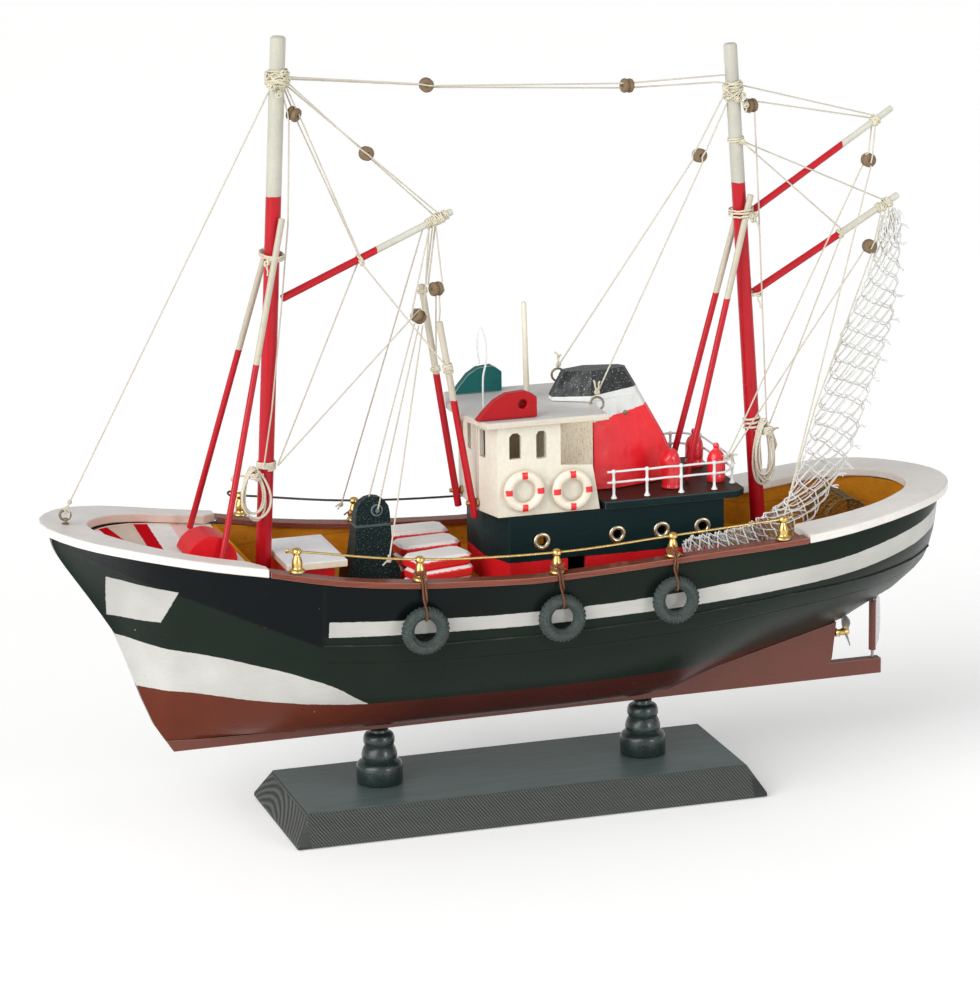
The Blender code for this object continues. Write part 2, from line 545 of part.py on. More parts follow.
def build_wheelhouse(white):
    low = WHEEL_BOTTOM
    body = prism("wheelhouse", front_plan(WHEEL_PLAN, TRUNK_X[0]), low, WHEEL_TOP, white)
    # The room's plan has a notch in its aft side, where the trunk stands.
    inside = front_plan(WHEEL_PLAN, -60, WHEEL_WALL)
    inside += [(-60, -TRUNK_HALF), (TRUNK_X[1], -TRUNK_HALF), (TRUNK_X[1], TRUNK_HALF), (-60, TRUNK_HALF)]
    cut(body, prism("cutter_wheel_room", inside, low + 2.0, 190, white))
    # The side walls stop short above the wings, and the wings slant down to the upper deck.
    slant = ((WHEEL_SIDE_END_X, 190), (WHEEL_SIDE_END_X, WING_TOP), (-30.0, WING_TOP - 1.0),
             (WHEEL_AFT_X + 0.2, low - 3), (-60, low - 3), (-60, 190))
    cut(body, prism("cutter_wheel_slant_port", slant, TRUNK_HALF, 40, white, along="y"))
    cut(body, prism("cutter_wheel_slant_starboard", slant, -40, -TRUNK_HALF, white, along="y"))
    deck = HOUSE_TOP + 2 * GAP + SLAB_THICK
    cut(body, box("cutter_trunk_foot", (-60, SLAB_X[1] + GAP), (-40, 40), (low - 3, deck), white))
    for k, (x0, x1, z0, z1) in enumerate(SIDE_WINDOWS):
        xm = (x0 + x1) / 2
        arch = ((x0, z0), (x1, z0), (x1, z1 - 1.6), (xm + 1.2, z1), (xm - 1.2, z1), (x0, z1 - 1.6))
        cut(body, prism("cutter_side_window_%d" % k, arch, -40, 40, white, along="y"))
    for k, (y, half) in enumerate(((1.0, 2.6), (-9.4, 1.8))):
        cut(body, box("cutter_front_window_%d" % k, (10, 30), (y - half, y + half), (159.5, 171.4), white))
    (xc, yc), (xk, yk) = WHEEL_PLAN
    for k, side in enumerate((1, -1)):
        knuckle = np.array((xk, side * yk, 0))
        along = np.array((xc - xk, side * (yc - yk), 0))
        along /= np.linalg.norm(along)
        across = np.array((-along[1], along[0], 0))
        middle = knuckle + 3.6 * along
        ring = [middle + a * 2.3 * along + b * 4.5 * across for a, b in ((-1, -1), (1, -1), (1, 1), (-1, 1))]
        tool = loft("cutter_corner_window_%d" % k,
                    [[p + (0, 0, z) for p in ring] for z in (159.5, 171.4)], white)
        cut(body, tool)
    return body


def build_roof(white):
    low = WHEEL_TOP + GAP
    outline = front_plan(ROOF_PLAN, ROOF_AFT_X)
    rings = []
    for z, inset in ((low, 0), (low + ROOF_THICK - 0.5, 0), (low + ROOF_THICK, 0.5)):
        rings.append([(x * (1 - inset / 60), y * (1 - inset / 33), z) for x, y in outline])
    return loft("wheelhouse_roof", rings, white)


def funnel_ring(level):
    z, front, shoulder, aft, half = level
    nose = 2.2 if z > 178 or front > -30 else half - 0.2
    tail = 3.0
    port = [(front, nose, z), (shoulder, half, z), (aft + 2.0, tail, z)]
    return port + [(aft, 0, z)] + [mirror_y(p) for p in port[::-1]] + [(front - 0.2, 0, z)]


def build_funnel(red, black):
    """The casing runs down behind the wheelhouse, and its head stands on the roof."""
    casing = loft("funnel", [funnel_ring(level) for level in FUNNEL_LEVELS], red)
    head_low = WHEEL_TOP + ROOF_THICK + 2 * GAP
    levels = [(head_low, *FUNNEL_HEAD[0][1:])] + list(FUNNEL_HEAD[1:])
    head = loft("funnel_head", [funnel_ring(level) for level in levels], red)
    return weld("funnel", [casing, head])


def build_light_boards(red, green):
    for name, side, material, x0, x1 in (("light_board_port", 1, red, -5.9, 21.0),
                                         ("light_board_starboard", -1, green, -6.4, 15.5)):
        low = WHEEL_TOP + ROOF_THICK + 2 * GAP
        top = low + 11.5
        span = x1 - x0
        outline = ((x0, low), (x1, low), (x1 - 0.12 * span, low + 3.6), (x1 - 0.3 * span, low + 8.2),
                   (x1 - 0.5 * span, top - 0.6), (x0 + 0.2 * span, top), (x0 + 1.6, top - 1.6), (x0, top - 3.0))
        y = side * 26.0
        board = prism(name, outline, y - 2.2, y + 2.2, material, along="y")
        cut(board, lathe("cutter_lamp_" + name, (x0 + 6.4, side * 24.6, low + 6.0), (0, side, 0),
                         ((2.0, 0), (2.0, 9)), material, 14))


def build_roof_pole(white):
    low = WHEEL_TOP + ROOF_THICK + 2 * GAP
    rod("roof_pole", (-12.7, -8, low), (-11.8, -8, 219.7), 1.3, 1.1, white, 10)


def build_handrail(white):
    """White rail round the aft end of the upper deck: posts and two bars in one soldered piece."""
    deck = HOUSE_TOP + 2 * GAP + SLAB_THICK
    y = 28.4
    route = [(-37.2, y), (-70, y), (-90.5, y), (-96.6, y - 7.5), (-96.6, 0), (-96.6, 7.5 - y), (-90.5, -y),
             (-70, -y), (-37.2, -y)]
    bars = [tube("bar", [(px, py, deck + h) for px, py in route], 0.55, white) for h in (11.9, 7.2)]
    posts = []
    for x in RAIL_POST_X:
        for side in (1, -1):
            py = side * (y if x > -90 else y - 7.9)
            posts.append(tube("post", [(x, py, deck), (x, py, deck + 12.6)], 0.7, white))
    return weld("handrail", bars + posts)


def build_bottle(name, side, red):
    low = HOUSE_TOP + 2 * GAP + SLAB_THICK
    profile = ((3.7, 0), (4.0, 0.4), (4.0, 9.6), (3.6, 11.6), (2.4, 13.4), (1.2, 14.4), (1.1, 16.8))
    return lathe(name, (BOTTLE_X, side * BOTTLE_Y, low), (0, 0, 1), profile, red, 18)


def build_vents(red):
    """A cowl on each side of the funnel casing, with a round top that leans forward."""
    low = HOUSE_TOP + 2 * GAP + SLAB_THICK
    for side, word in ((1, "port"), (-1, "starboard")):
        profile = ((4.5, 0), (4.6, 0.4), (4.5, 9.0), (4.4, 13.2), (3.6, 15.4), (1.8, 16.6))
        lathe("vent_" + word, (VENT_X, side * VENT_Y, low), (0, 0, 1), profile, red, 18)


def build_hatch(red, white):
    x0, x1 = HATCH_X
    coaming = box("coaming", (x0 + 4.5, x1 - 1.5), (-17.5, 17.5), (DECK_Z + GAP, HATCH_TOP - 2.4), red)
    cover = box("cover", HATCH_X, (-HATCH_HALF, HATCH_HALF), (HATCH_TOP - 3.0, HATCH_TOP), white)
    return weld("deck_hatch", [coaming, cover])


def build_winch(black, metal):
    """A casing with a rounded top on a wider foot, thinner towards the top, with a drum end to port."""
    low = DECK_Z + GAP
    x, y = WINCH_X, WINCH_Y
    outline = [(x - 11.5, low), (x + 11.5, low), (x + 11.5, low + 8.5), (x + 8.6, low + 14)]
    for k in range(9):
        a = math.radians(180 * k / 8)
        outline.append((x + 7.4 * math.cos(a), WINCH_TOP - 7.4 + 7.4 * math.sin(a)))
    outline += [(x - 8.6, low + 14), (x - 11.5, low + 8.5)]
    def lean(z):
        return y - 8.5 + WINCH_LEAN * (z - low) / (WINCH_TOP - low)

    body = loft("casing", [[(px, lean(pz), pz) for px, pz in outline],
                           [(px, y + 8.5, pz) for px, pz in outline]], black)
    drum = lathe("drum_end", (x - 1.6, y + 8.0, WINCH_TOP - 6.1), (0, 1, 0),
                 ((2.7, 0), (2.7, 0.9), (1.6, 1.0), (1.6, 1.7)), metal, 14)
    return weld("winch", [body, drum])


def build_companion(red):
    """Half-round cover over the forecastle steps."""
    x, z = COMPANION_MIDDLE
    arc = [(x + COMPANION_RADIUS * math.cos(math.radians(a)), z + COMPANION_RADIUS * math.sin(math.radians(a)))
           for a in range(172, 19, -8)]
    feet = [(end, sheer(end) - FOREDECK_DROP + GAP) for end in (x - COMPANION_RADIUS, x + COMPANION_RADIUS * 0.955)]
    return prism("companion", [feet[0]] + arc + [feet[1]], *COMPANION_Y, red, along="y")


def build_fish_boxes(red):
    """Three stacks of shallow boxes with bevelled lids, each stack turned a little."""
    for k, (x, y, turn) in enumerate(BOX_STACKS):
        a = math.radians(turn)
        pieces = []
        for n in range(3):
            low = DECK_Z + GAP + n * BOX_HEIGHT
            shift = (0.0, 1.4, 0.0)[n]
            levels = ((0.0, 0.9), (0.8, 0.2), (BOX_HEIGHT - 1.6, 0.0), (BOX_HEIGHT + 0.05, 1.2))
            rings = []
            for rise, inset in levels:
                l, w = BOX_LENGTH / 2 - inset, BOX_WIDTH / 2 - inset
                c = 2.2
                plan = ((l, w - c), (l - c, w), (c - l, w), (-l, w - c), (-l, c - w), (c - l, -w), (l - c, -w),
                        (l, c - w))
                rings.append([(x + px * math.cos(a) - (py + shift) * math.sin(a),
                               y + px * math.sin(a) + (py + shift) * math.cos(a), low + rise)
                              for px, py in plan])
            pieces.append(loft("tray", rings, red))
        weld("fish_boxes_%s" % ("starboard", "middle", "port")[k], pieces)


def build_life_rings(white):
    for k, (x, z, side) in enumerate([(x, z, side) for side in (1, -1) for x, z in LIFE_RINGS]):
        profile = [(6.95 + 2.1 * math.cos(t), 1.75 * math.sin(t))
                   for t in [2 * math.pi * i / 8 for i in range(8)]]
        name = "life_ring_%s_%s" % ("port" if side > 0 else "starboard", ("fore", "aft")[k % 2])
        turned_ring(name, (x, side * (WHEEL_PLAN[0][1] + 1.75 + GAP), z), (0, 1, 0), profile, white, 24)


def build_side_rails(brass):
    """Five turned bollards on the waist rail with a wire run through their heads."""
    for side, word in ((1, "port"), (-1, "starboard")):
        pieces = []
        route = []
        for x in BOLLARD_X:
            y = side * (waist_outer(x) - 3.4)
            foot = max(sheer(x - 3.2), sheer(x + 3.2)) + WAIST_RAIL_THICK + 2 * GAP
            profile = ((3.2, 0), (3.2, 0.5), (2.2, 1.2), (1.6, 1.9), (1.6, 6.6), (1.1, 7.2), (1.5, 8.0),
                       (1.6, 8.8), (1.2, 9.8), (0.4, 10.3))
            pieces.append(lathe("bollard", (x, y, foot), (0, 0, 1), profile, brass, 8))
            route.append((x, y, foot + 8.8))
        first, last = np.array(route[0]), np.array(route[-1])
        ends = [tuple(first + (2.8, 0, 0.6))] + route + [tuple(last - (2.8, 0, -0.6))]
        pieces.append(tube("wire", ends, 0.55, brass))
        weld("side_rail_" + word, pieces)


def build_tyres(rubber):
    for side, word in ((1, "port"), (-1, "starboard")):
        for k, (x, z) in enumerate(TYRES):
            reach = max(half_breadth(x + dx, z + dz) for dx in (-11, 0, 11) for dz in (-8, 0, 10.5))
            y = side * (reach + TYRE_THICK / 2 + GAP)
            h, o, i = TYRE_THICK / 2, TYRE_OUTER, TYRE_HOLE
            profile = ((i, -h * 0.35), (i + 1.6, -h), (o - 1.4, -h), (o, -h * 0.45), (o, h * 0.45),
                       (o - 1.4, h), (i + 1.6, h), (i, h * 0.35))
            turned_ring("tyre_%s_%d" % (word, k + 1), (x, y, z), (0, 1, 0), profile, rubber, 24)


def build_stays(cord, brass):
    """Forestay with its eye at the bow, and the stay between the mastheads."""
    eye = (193.0, 0, sheer(193) + GAP + BOW_RAIL_THICK + 3.9)
    ring = turned_ring("eye", eye, (0, 1, 0),
                       [(2.2 + 0.55 * math.cos(t), 0.55 * math.sin(t))
                        for t in [2 * math.pi * i / 6 for i in range(6)]], brass, 16)
    foot_z = sheer(193) + 2 * GAP + BOW_RAIL_THICK
    stem = tube("stem", [(193.0, 0, foot_z), (193.0, 0, eye[2] - 1.9)], 0.6, brass)
    head = on_line(FOREMAST, 330.0)
    start = (head[0] + 3.3 + GAP + 0.2, 0, 330.0)
    line = tube("line", [start, (eye[0] - 0.4, 0, eye[2] + 2.1)], 0.45, cord)
    weld("forestay", [line, ring, stem])
    aft = on_line(AFT_MAST, 321.0)
    fore = on_line(FOREMAST, 334.0)
    x0, x1 = fore[0] - 3.3 - GAP - 0.2, aft[0] + 3.0 + GAP + 0.2
    route = [(x0 + (x1 - x0) * t, 0, 334.0 + (321.0 - 334.0) * t - 3.0 * 4 * t * (1 - t) * 0.25)
             for t in (0, 0.25, 0.5, 0.75, 1)]
    tube("masthead_stay", route, 0.45, cord)


def build_net(twine):
    """Plain closed solid of the hung net and of its trailing end inside the bulwark."""
    rings = []
    for x, y, z, along, across, up in NET_STATIONS:
        rings.append([(x + along * math.cos(t), y + across * math.sin(t), z + up * math.cos(t))
                      for t in [2 * math.pi * i / 12 for i in range(12)]])
    return loft("net", rings, twine)


def build_trap(mesh_material):
    """Half-round wire trap on the aft deck."""
    low = DECK_Z + GAP
    x, y0, y1 = -157.0, -20.0, 4.0
    outline = [(x - 10.5, low), (x + 10.5, low), (x + 10.5, low + 8.0)]
    for k in range(1, 8):
        a = math.radians(180 * k / 8)
        outline.append((x + 10.5 * math.cos(a), low + 8.0 + 11.0 * math.sin(a)))
    outline.append((x - 10.5, low + 8.0))
    return prism("wire_trap", outline, y0, y1, mesh_material, along="y")


def main():
    clear_scene()
    hull_black = make_material("hull_black", (0.03, 0.045, 0.04), 0.35)
    white = make_material("white_paint", (0.78, 0.77, 0.72), 0.45)
    brown = make_material("rail_brown", (0.23, 0.05, 0.035), 0.4)
    red = make_material("red_paint", (0.6, 0.01, 0.015), 0.35)
    green = make_material("green_paint", (0.0, 0.16, 0.12), 0.4)
    ochre = make_material("deck_ochre", (0.42, 0.22, 0.05), 0.5)
    black = make_material("house_black", (0.02, 0.035, 0.035), 0.4)
    stand = make_material("stand_black", (0.012, 0.012, 0.012), 0.4)
    brass = make_material("brass", (0.55, 0.38, 0.12), 0.25, 1.0)
    grey = make_material("grey_metal", (0.4, 0.4, 0.4), 0.35, 1.0)
    rudder_brown = make_material("antifouling_brown", (0.25, 0.08, 0.045), 0.45)
    rubber = make_material("rubber", (0.035, 0.045, 0.05), 0.8)
    cord = make_material("cord", (0.7, 0.65, 0.55), 0.85)
    wire_mesh = make_material("wire_mesh", (0.3, 0.25, 0.15), 0.6)

    build_stand(stand)
    build_hull(hull_black)
    build_decks(ochre, white)
    build_keel(rudder_brown)
    build_cap_rails(white, brown)
    build_propeller(grey, brass)
    build_rudder(rudder_brown, grey)
    build_spars(red)
    build_derricks(red, brass)
    build_lower_house(black)
    build_upper_deck(black)
    build_wheelhouse(white)
    build_roof(white)
    build_funnel(red, black)
    build_light_boards(red, green)
    build_roof_pole(white)
    build_handrail(white)
    build_bottle("gas_bottle_port", 1, red)
    build_bottle("gas_bottle_starboard", -1, red)
    build_vents(red)
    build_hatch(red, white)
    build_winch(black, grey)
    build_companion(red)
    build_fish_boxes(red)
    build_life_rings(white)
    build_side_rails(brass)
    build_tyres(rubber)
    build_stays(cord, brass)
    build_net(cord)
    build_trap(wire_mesh)


main()
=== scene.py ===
"""Looks of the painted wooden trawler: finishes, turned fittings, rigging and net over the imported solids."""
import json
import math
import random

import bmesh
import bpy
import numpy as np
from mathutils import Matrix, Vector
from mathutils.bvhtree import BVHTree


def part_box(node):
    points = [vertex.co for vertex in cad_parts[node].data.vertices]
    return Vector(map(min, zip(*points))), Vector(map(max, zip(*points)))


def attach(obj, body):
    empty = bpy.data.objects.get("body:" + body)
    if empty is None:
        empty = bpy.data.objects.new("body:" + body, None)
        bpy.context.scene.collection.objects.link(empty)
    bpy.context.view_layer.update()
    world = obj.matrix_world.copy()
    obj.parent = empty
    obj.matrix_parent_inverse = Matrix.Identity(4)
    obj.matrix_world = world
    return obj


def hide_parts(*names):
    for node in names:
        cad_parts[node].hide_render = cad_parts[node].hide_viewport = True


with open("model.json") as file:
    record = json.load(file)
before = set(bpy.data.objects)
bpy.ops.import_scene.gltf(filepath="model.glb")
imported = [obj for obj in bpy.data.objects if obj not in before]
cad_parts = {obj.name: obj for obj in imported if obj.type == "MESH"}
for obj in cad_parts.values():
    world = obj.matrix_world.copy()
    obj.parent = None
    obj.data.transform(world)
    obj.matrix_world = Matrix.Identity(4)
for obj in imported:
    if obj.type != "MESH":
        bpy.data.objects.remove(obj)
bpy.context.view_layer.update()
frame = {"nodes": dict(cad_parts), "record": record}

# Drawing sizes are millimetres as read from the photograph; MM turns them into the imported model's metres.
MM = 0.001 * 410.0 / 407.4
GAP = 0.3
RAIL_INSET = 3.4  # from the waist rail's edge to its bollards
DECK = 103.0
UPPER_DECK = 138.7

RECORD = frame["record"]
BODY_OF = {node: body for body, nodes in RECORD["behaviour"]["bodies"].items() for node in nodes}


# Camera, floor and light

def set_camera():
    turn, pitch, roll = (math.radians(v) for v in (16.9108, 14.4924, -0.8754))
    back = Vector((math.sin(turn) * math.cos(pitch), math.cos(turn) * math.cos(pitch), math.sin(pitch)))
    right = (-back).cross(Vector((0, 0, 1))).normalized()
    up = right.cross(-back)
    lean = right * math.cos(roll) + up * math.sin(roll)
    rise = up * math.cos(roll) - right * math.sin(roll)
    target = Vector((8.2115, 0.0, 139.6357)) * MM
    place = target + back * 1791.88 * MM
    data = bpy.data.cameras.new("camera")
    camera = bpy.data.objects.new("camera", data)
    bpy.context.scene.collection.objects.link(camera)
    rows = [(lean[i], rise[i], back[i], place[i]) for i in range(3)]
    camera.matrix_world = Matrix((*rows, (0, 0, 0, 1)))
    data.sensor_width = 36.0
    data.lens = 152.48
    data.shift_x, data.shift_y = 0.00273, 0.00027
    data.clip_end = 60.0
    bpy.context.scene.camera = camera


def set_light():
    """Even tent light, a low main light from the stern's side, a fill from the bow and two weak softboxes."""
    scene = bpy.context.scene
    scene.view_settings.view_transform = "Standard"
    scene.view_settings.look = "None"
    world = bpy.data.worlds.new("studio")
    scene.world = world
    world.use_nodes = True
    world.node_tree.nodes["Background"].inputs["Color"].default_value = (1.0, 1.0, 1.0, 1.0)
    world.node_tree.nodes["Background"].inputs["Strength"].default_value = 0.46
    for name, kind, place, size, power in (("main", "SUN", (-0.9, 1.7, 0.55), 0.35, 0.70),
                                           ("fill", "SUN", (1.5, 0.8, 0.95), 0.9, 2.50),
                                           ("softbox", "AREA", (1.0, 1.6, 1.7), 1.0, 4.0),
                                           ("strip", "AREA", (-1.8, 1.0, 1.2), 0.8, 3.0)):
        data = bpy.data.lights.new(name, kind)
        if kind == "SUN":
            data.angle = size
        else:
            data.shape = "SQUARE"
            data.size = size
        data.energy = power
        lamp = bpy.data.objects.new(name, data)
        scene.collection.objects.link(lamp)
        lamp.location = place
        lamp.rotation_euler = (Vector((0, 0, 0.12)) - Vector(place)).to_track_quat("-Z", "Y").to_euler()


def lay_floor(finish):
    bpy.ops.object.select_all(action="DESELECT")
    bpy.ops.mesh.primitive_plane_add(size=14.0, location=(0, 0, -0.0004))
    floor = bpy.context.object
    floor.name = "floor"
    floor.data.materials.append(finish.material)


# Finishes

class Value:
    """A number on its way to a finish: arithmetic on it adds the Math nodes."""

    def __init__(self, finish, socket):
        self.finish = finish
        self.socket = socket

    def maths(self, operation, *terms):
        return self.finish.node("ShaderNodeMath", {"operation": operation}, dict(enumerate(terms)))

    def __add__(self, other):
        return self.maths("ADD", self, other)

    def __radd__(self, other):
        return self.maths("ADD", other, self)

    def __sub__(self, other):
        return self.maths("SUBTRACT", self, other)

    def __rsub__(self, other):
        return self.maths("SUBTRACT", other, self)

    def __mul__(self, other):
        return self.maths("MULTIPLY", self, other)

    def __rmul__(self, other):
        return self.maths("MULTIPLY", other, self)

    def __truediv__(self, other):
        return self.maths("DIVIDE", self, other)

    def __mod__(self, other):
        return self.maths("FLOORED_MODULO", self, other)

    def __pow__(self, other):
        return self.maths("POWER", self, other)

    def __abs__(self):
        return self.maths("ABSOLUTE", self)

    def sine(self):
        return self.maths("SINE", self)

    def most(self, other):
        return self.maths("MAXIMUM", self, other)


class Finish:
    """One painted, stained or metal surface, worked out in the model's own millimetres."""

    def __init__(self, name, rough=0.4, metal=0.0, lacquer=0.0, specular=0.5):
        self.material = bpy.data.materials.new(name)
        self.material.use_nodes = True
        self.tree = self.material.node_tree
        self.shader = self.tree.nodes["Principled BSDF"]
        self.shader.inputs["Roughness"].default_value = rough
        self.shader.inputs["Metallic"].default_value = metal
        self.shader.inputs["Coat Weight"].default_value = lacquer
        self.shader.inputs["Coat Roughness"].default_value = 0.12
        self.shader.inputs["Specular IOR Level"].default_value = specular
        own = self.node("ShaderNodeTexCoord", output="Object")
        self.place = self.node("ShaderNodeVectorMath", {"operation": "SCALE"}, {0: own, "Scale": 1.0 / MM})
        split = self.node("ShaderNodeSeparateXYZ", inputs={0: self.place})
        self.x, self.y, self.z = (Value(self, split.socket.node.outputs[i]) for i in range(3))

    def node(self, kind, settings=None, inputs=None, output=0):
        made = self.tree.nodes.new(kind)
        for name, setting in (settings or {}).items():
            if name == "points":
                line = made.mapping.curves[0]
                line.points[0].location = setting[0]
                line.points[-1].location = setting[-1]
                for point in setting[1:-1]:
                    line.points.new(*point)
                for point in line.points:
                    point.handle_type = "AUTO_CLAMPED"
                made.mapping.update()
            else:
                setattr(made, name, setting)
        for name, given in (inputs or {}).items():
            if isinstance(given, Value):
                self.tree.links.new(given.socket, made.inputs[name])
            else:
                made.inputs[name].default_value = given
        return Value(self, made.outputs[output])

    def feed(self, name, given):
        if isinstance(given, Value):
            self.tree.links.new(given.socket, self.shader.inputs[name])
        elif isinstance(given, tuple):
            self.shader.inputs[name].default_value = (*given, 1.0)
        else:
            self.shader.inputs[name].default_value = given

    def stretched(self, stretch=(1, 1, 1), turn=(0, 0, 0), shift=(0, 0, 0)):
        return self.node("ShaderNodeMapping", None, {0: self.place, "Scale": stretch, "Rotation": turn,
                                                     "Location": shift})

    def cloud(self, scale, detail=3.0, rough=0.55, stretch=(1, 1, 1), turn=(0, 0, 0)):
        """Noise with its features about 1 / scale millimetres across."""
        return self.node("ShaderNodeTexNoise", {"noise_dimensions": "3D"}, {
            "Vector": self.stretched(stretch, turn), "Scale": scale, "Detail": detail, "Roughness": rough})

    def spots(self, scale, size, soft=0.04, shift=(0, 0, 0)):
        """Sparse round nibs: 1 at the middle of each, 0 between them."""
        far = self.node("ShaderNodeTexVoronoi", {"feature": "F1"}, {
            "Vector": self.stretched(shift=shift), "Scale": scale, "Randomness": 1.0}, output="Distance")
        return 1 - self.step(far, size, soft)

    def step(self, value, edge, soft=0.15):
        """0 below the edge and 1 above it."""
        return self.node("ShaderNodeMapRange", {"interpolation_type": "SMOOTHSTEP"}, {
            0: value, 1: edge - soft, 2: edge + soft, 3: 0.0, 4: 1.0})

    def span(self, value, low, high, soft=0.15):
        return self.step(value, low, soft) * (1 - self.step(value, high, soft))

    def sheer_line(self, points, low, high):
        """A height that changes along the hull: points are (x, z), low and high bound both."""
        share = [((x - low[0]) / (high[0] - low[0]), (z - low[1]) / (high[1] - low[1])) for x, z in points]
        along = (self.x - low[0]) / (high[0] - low[0])
        curve = self.node("ShaderNodeFloatCurve", {"points": share}, {"Value": along})
        return curve * (high[1] - low[1]) + low[1]

    def blend(self, first, second, mask, how="MIX"):
        colours = [c if isinstance(c, Value) else (*c, 1.0) for c in (first, second)]
        return self.node("ShaderNodeMix", {"data_type": "RGBA", "blend_type": how},
                         {0: mask, 6: colours[0], 7: colours[1]}, output=2)

    def tone(self, colour, value, low=0.85, high=1.15):
        """Makes a colour darker where the value is 0 and lighter where it is 1."""
        grey = self.node("ShaderNodeMapRange", None, {0: value, 1: 0.25, 2: 0.75, 3: low, 4: high})
        level = self.node("ShaderNodeCombineXYZ", None, {0: grey, 1: grey, 2: grey})
        return self.blend(colour, level, 1.0, "MULTIPLY")

    def worn(self):
        """1 along eased edges, 0 on the flats; set by the piece's own edge attribute."""
        return self.node("ShaderNodeAttribute", {"attribute_name": "edge"}, output="Fac")

    def raise_by(self, *layers):
        """Bump layers of (height value, depth in millimetres, strength)."""
        normal = None
        for height, depth, strength in layers:
            inputs = {"Height": height, "Distance": depth * MM, "Strength": strength}
            if normal is not None:
                inputs["Normal"] = normal
            normal = self.node("ShaderNodeBump", None, inputs)
        self.feed("Normal", normal)

    def vary_rough(self, base, value, amount):
        self.feed("Roughness", base + (value - 0.5) * amount)


WHITE = (0.49, 0.485, 0.455)
RED = (0.42, 0.004, 0.012)
BROWN = (0.115, 0.025, 0.013)
OCHRE = (0.52, 0.210, 0.014)
HULL_BLACK = (0.0085, 0.0150, 0.0105)
GREEN_BLACK = (0.0030, 0.0135, 0.0145)
WORN_GREEN = (0.05, 0.075, 0.07)


def brush_paint(finish, colour, rough=0.36, streak=(0.12, 1, 1), nibs=True, depth=1.0, wear=None):
    """Hand-brushed enamel over wood: soft tone drift, streaks, nibs and thin paint on the edges."""
    drift = finish.cloud(0.05, 2.0)
    strokes = finish.cloud(1.1, 3.0, stretch=streak)
    grain = finish.cloud(0.9, 4.0, 0.6, stretch=(streak[0] * 0.4, streak[1] * 2.2, streak[2] * 2.2))
    mottle = finish.cloud(0.45, 4.0, 0.65)
    colour = finish.tone(colour, drift, 0.93, 1.07)
    colour = finish.tone(colour, strokes, 0.95, 1.05)
    colour = finish.tone(colour, mottle, 0.96, 1.04)
    if wear is not None:
        rub = finish.step(finish.worn() * (0.4 + 1.1 * mottle), 0.62, 0.12)
        colour = finish.blend(colour, wear, rub * 0.8)
    layers = [(strokes, 0.10 * depth, 0.5), (grain, 0.08 * depth, 0.35), (mottle, 0.12 * depth, 0.35)]
    if nibs:
        nib = finish.spots(0.22, 0.075, 0.03)
        lump = finish.spots(0.11, 0.05, 0.03, (3.3, 7.1, 1.7))
        layers.append((nib, 0.16, 0.6))
        layers.append((lump, 0.25, 0.6))
        colour = finish.tone(colour, 0.5 + 0.5 * nib, 0.9, 1.25)
    finish.feed("Base Color", colour)
    finish.vary_rough(rough, mottle, 0.22)
    finish.raise_by(*layers)
    return finish


def two_tone(name, axis, edge, far_colour, near_colour, rough=0.34, wobble=0.5, streak=(1, 1, 0.12)):
    """Paint that changes colour at a place along an axis, with a hand-drawn edge."""
    finish = Finish(name, lacquer=0.08, specular=0.3)
    way = getattr(finish, axis)
    line = way + (finish.cloud(0.5, 2.0) - 0.5) * 2 * wobble
    mask = finish.step(line, edge, 0.07)
    return brush_paint(finish, finish.blend(near_colour, far_colour, mask), rough, streak)


def plain_paint(name, colour, rough=0.36, lacquer=0.2, streak=(0.12, 1, 1), nibs=True, depth=1.0, wear=None,
                specular=0.5):
    finish = Finish(name, lacquer=lacquer, specular=specular)
    return brush_paint(finish, colour, rough, streak, nibs, depth, wear)


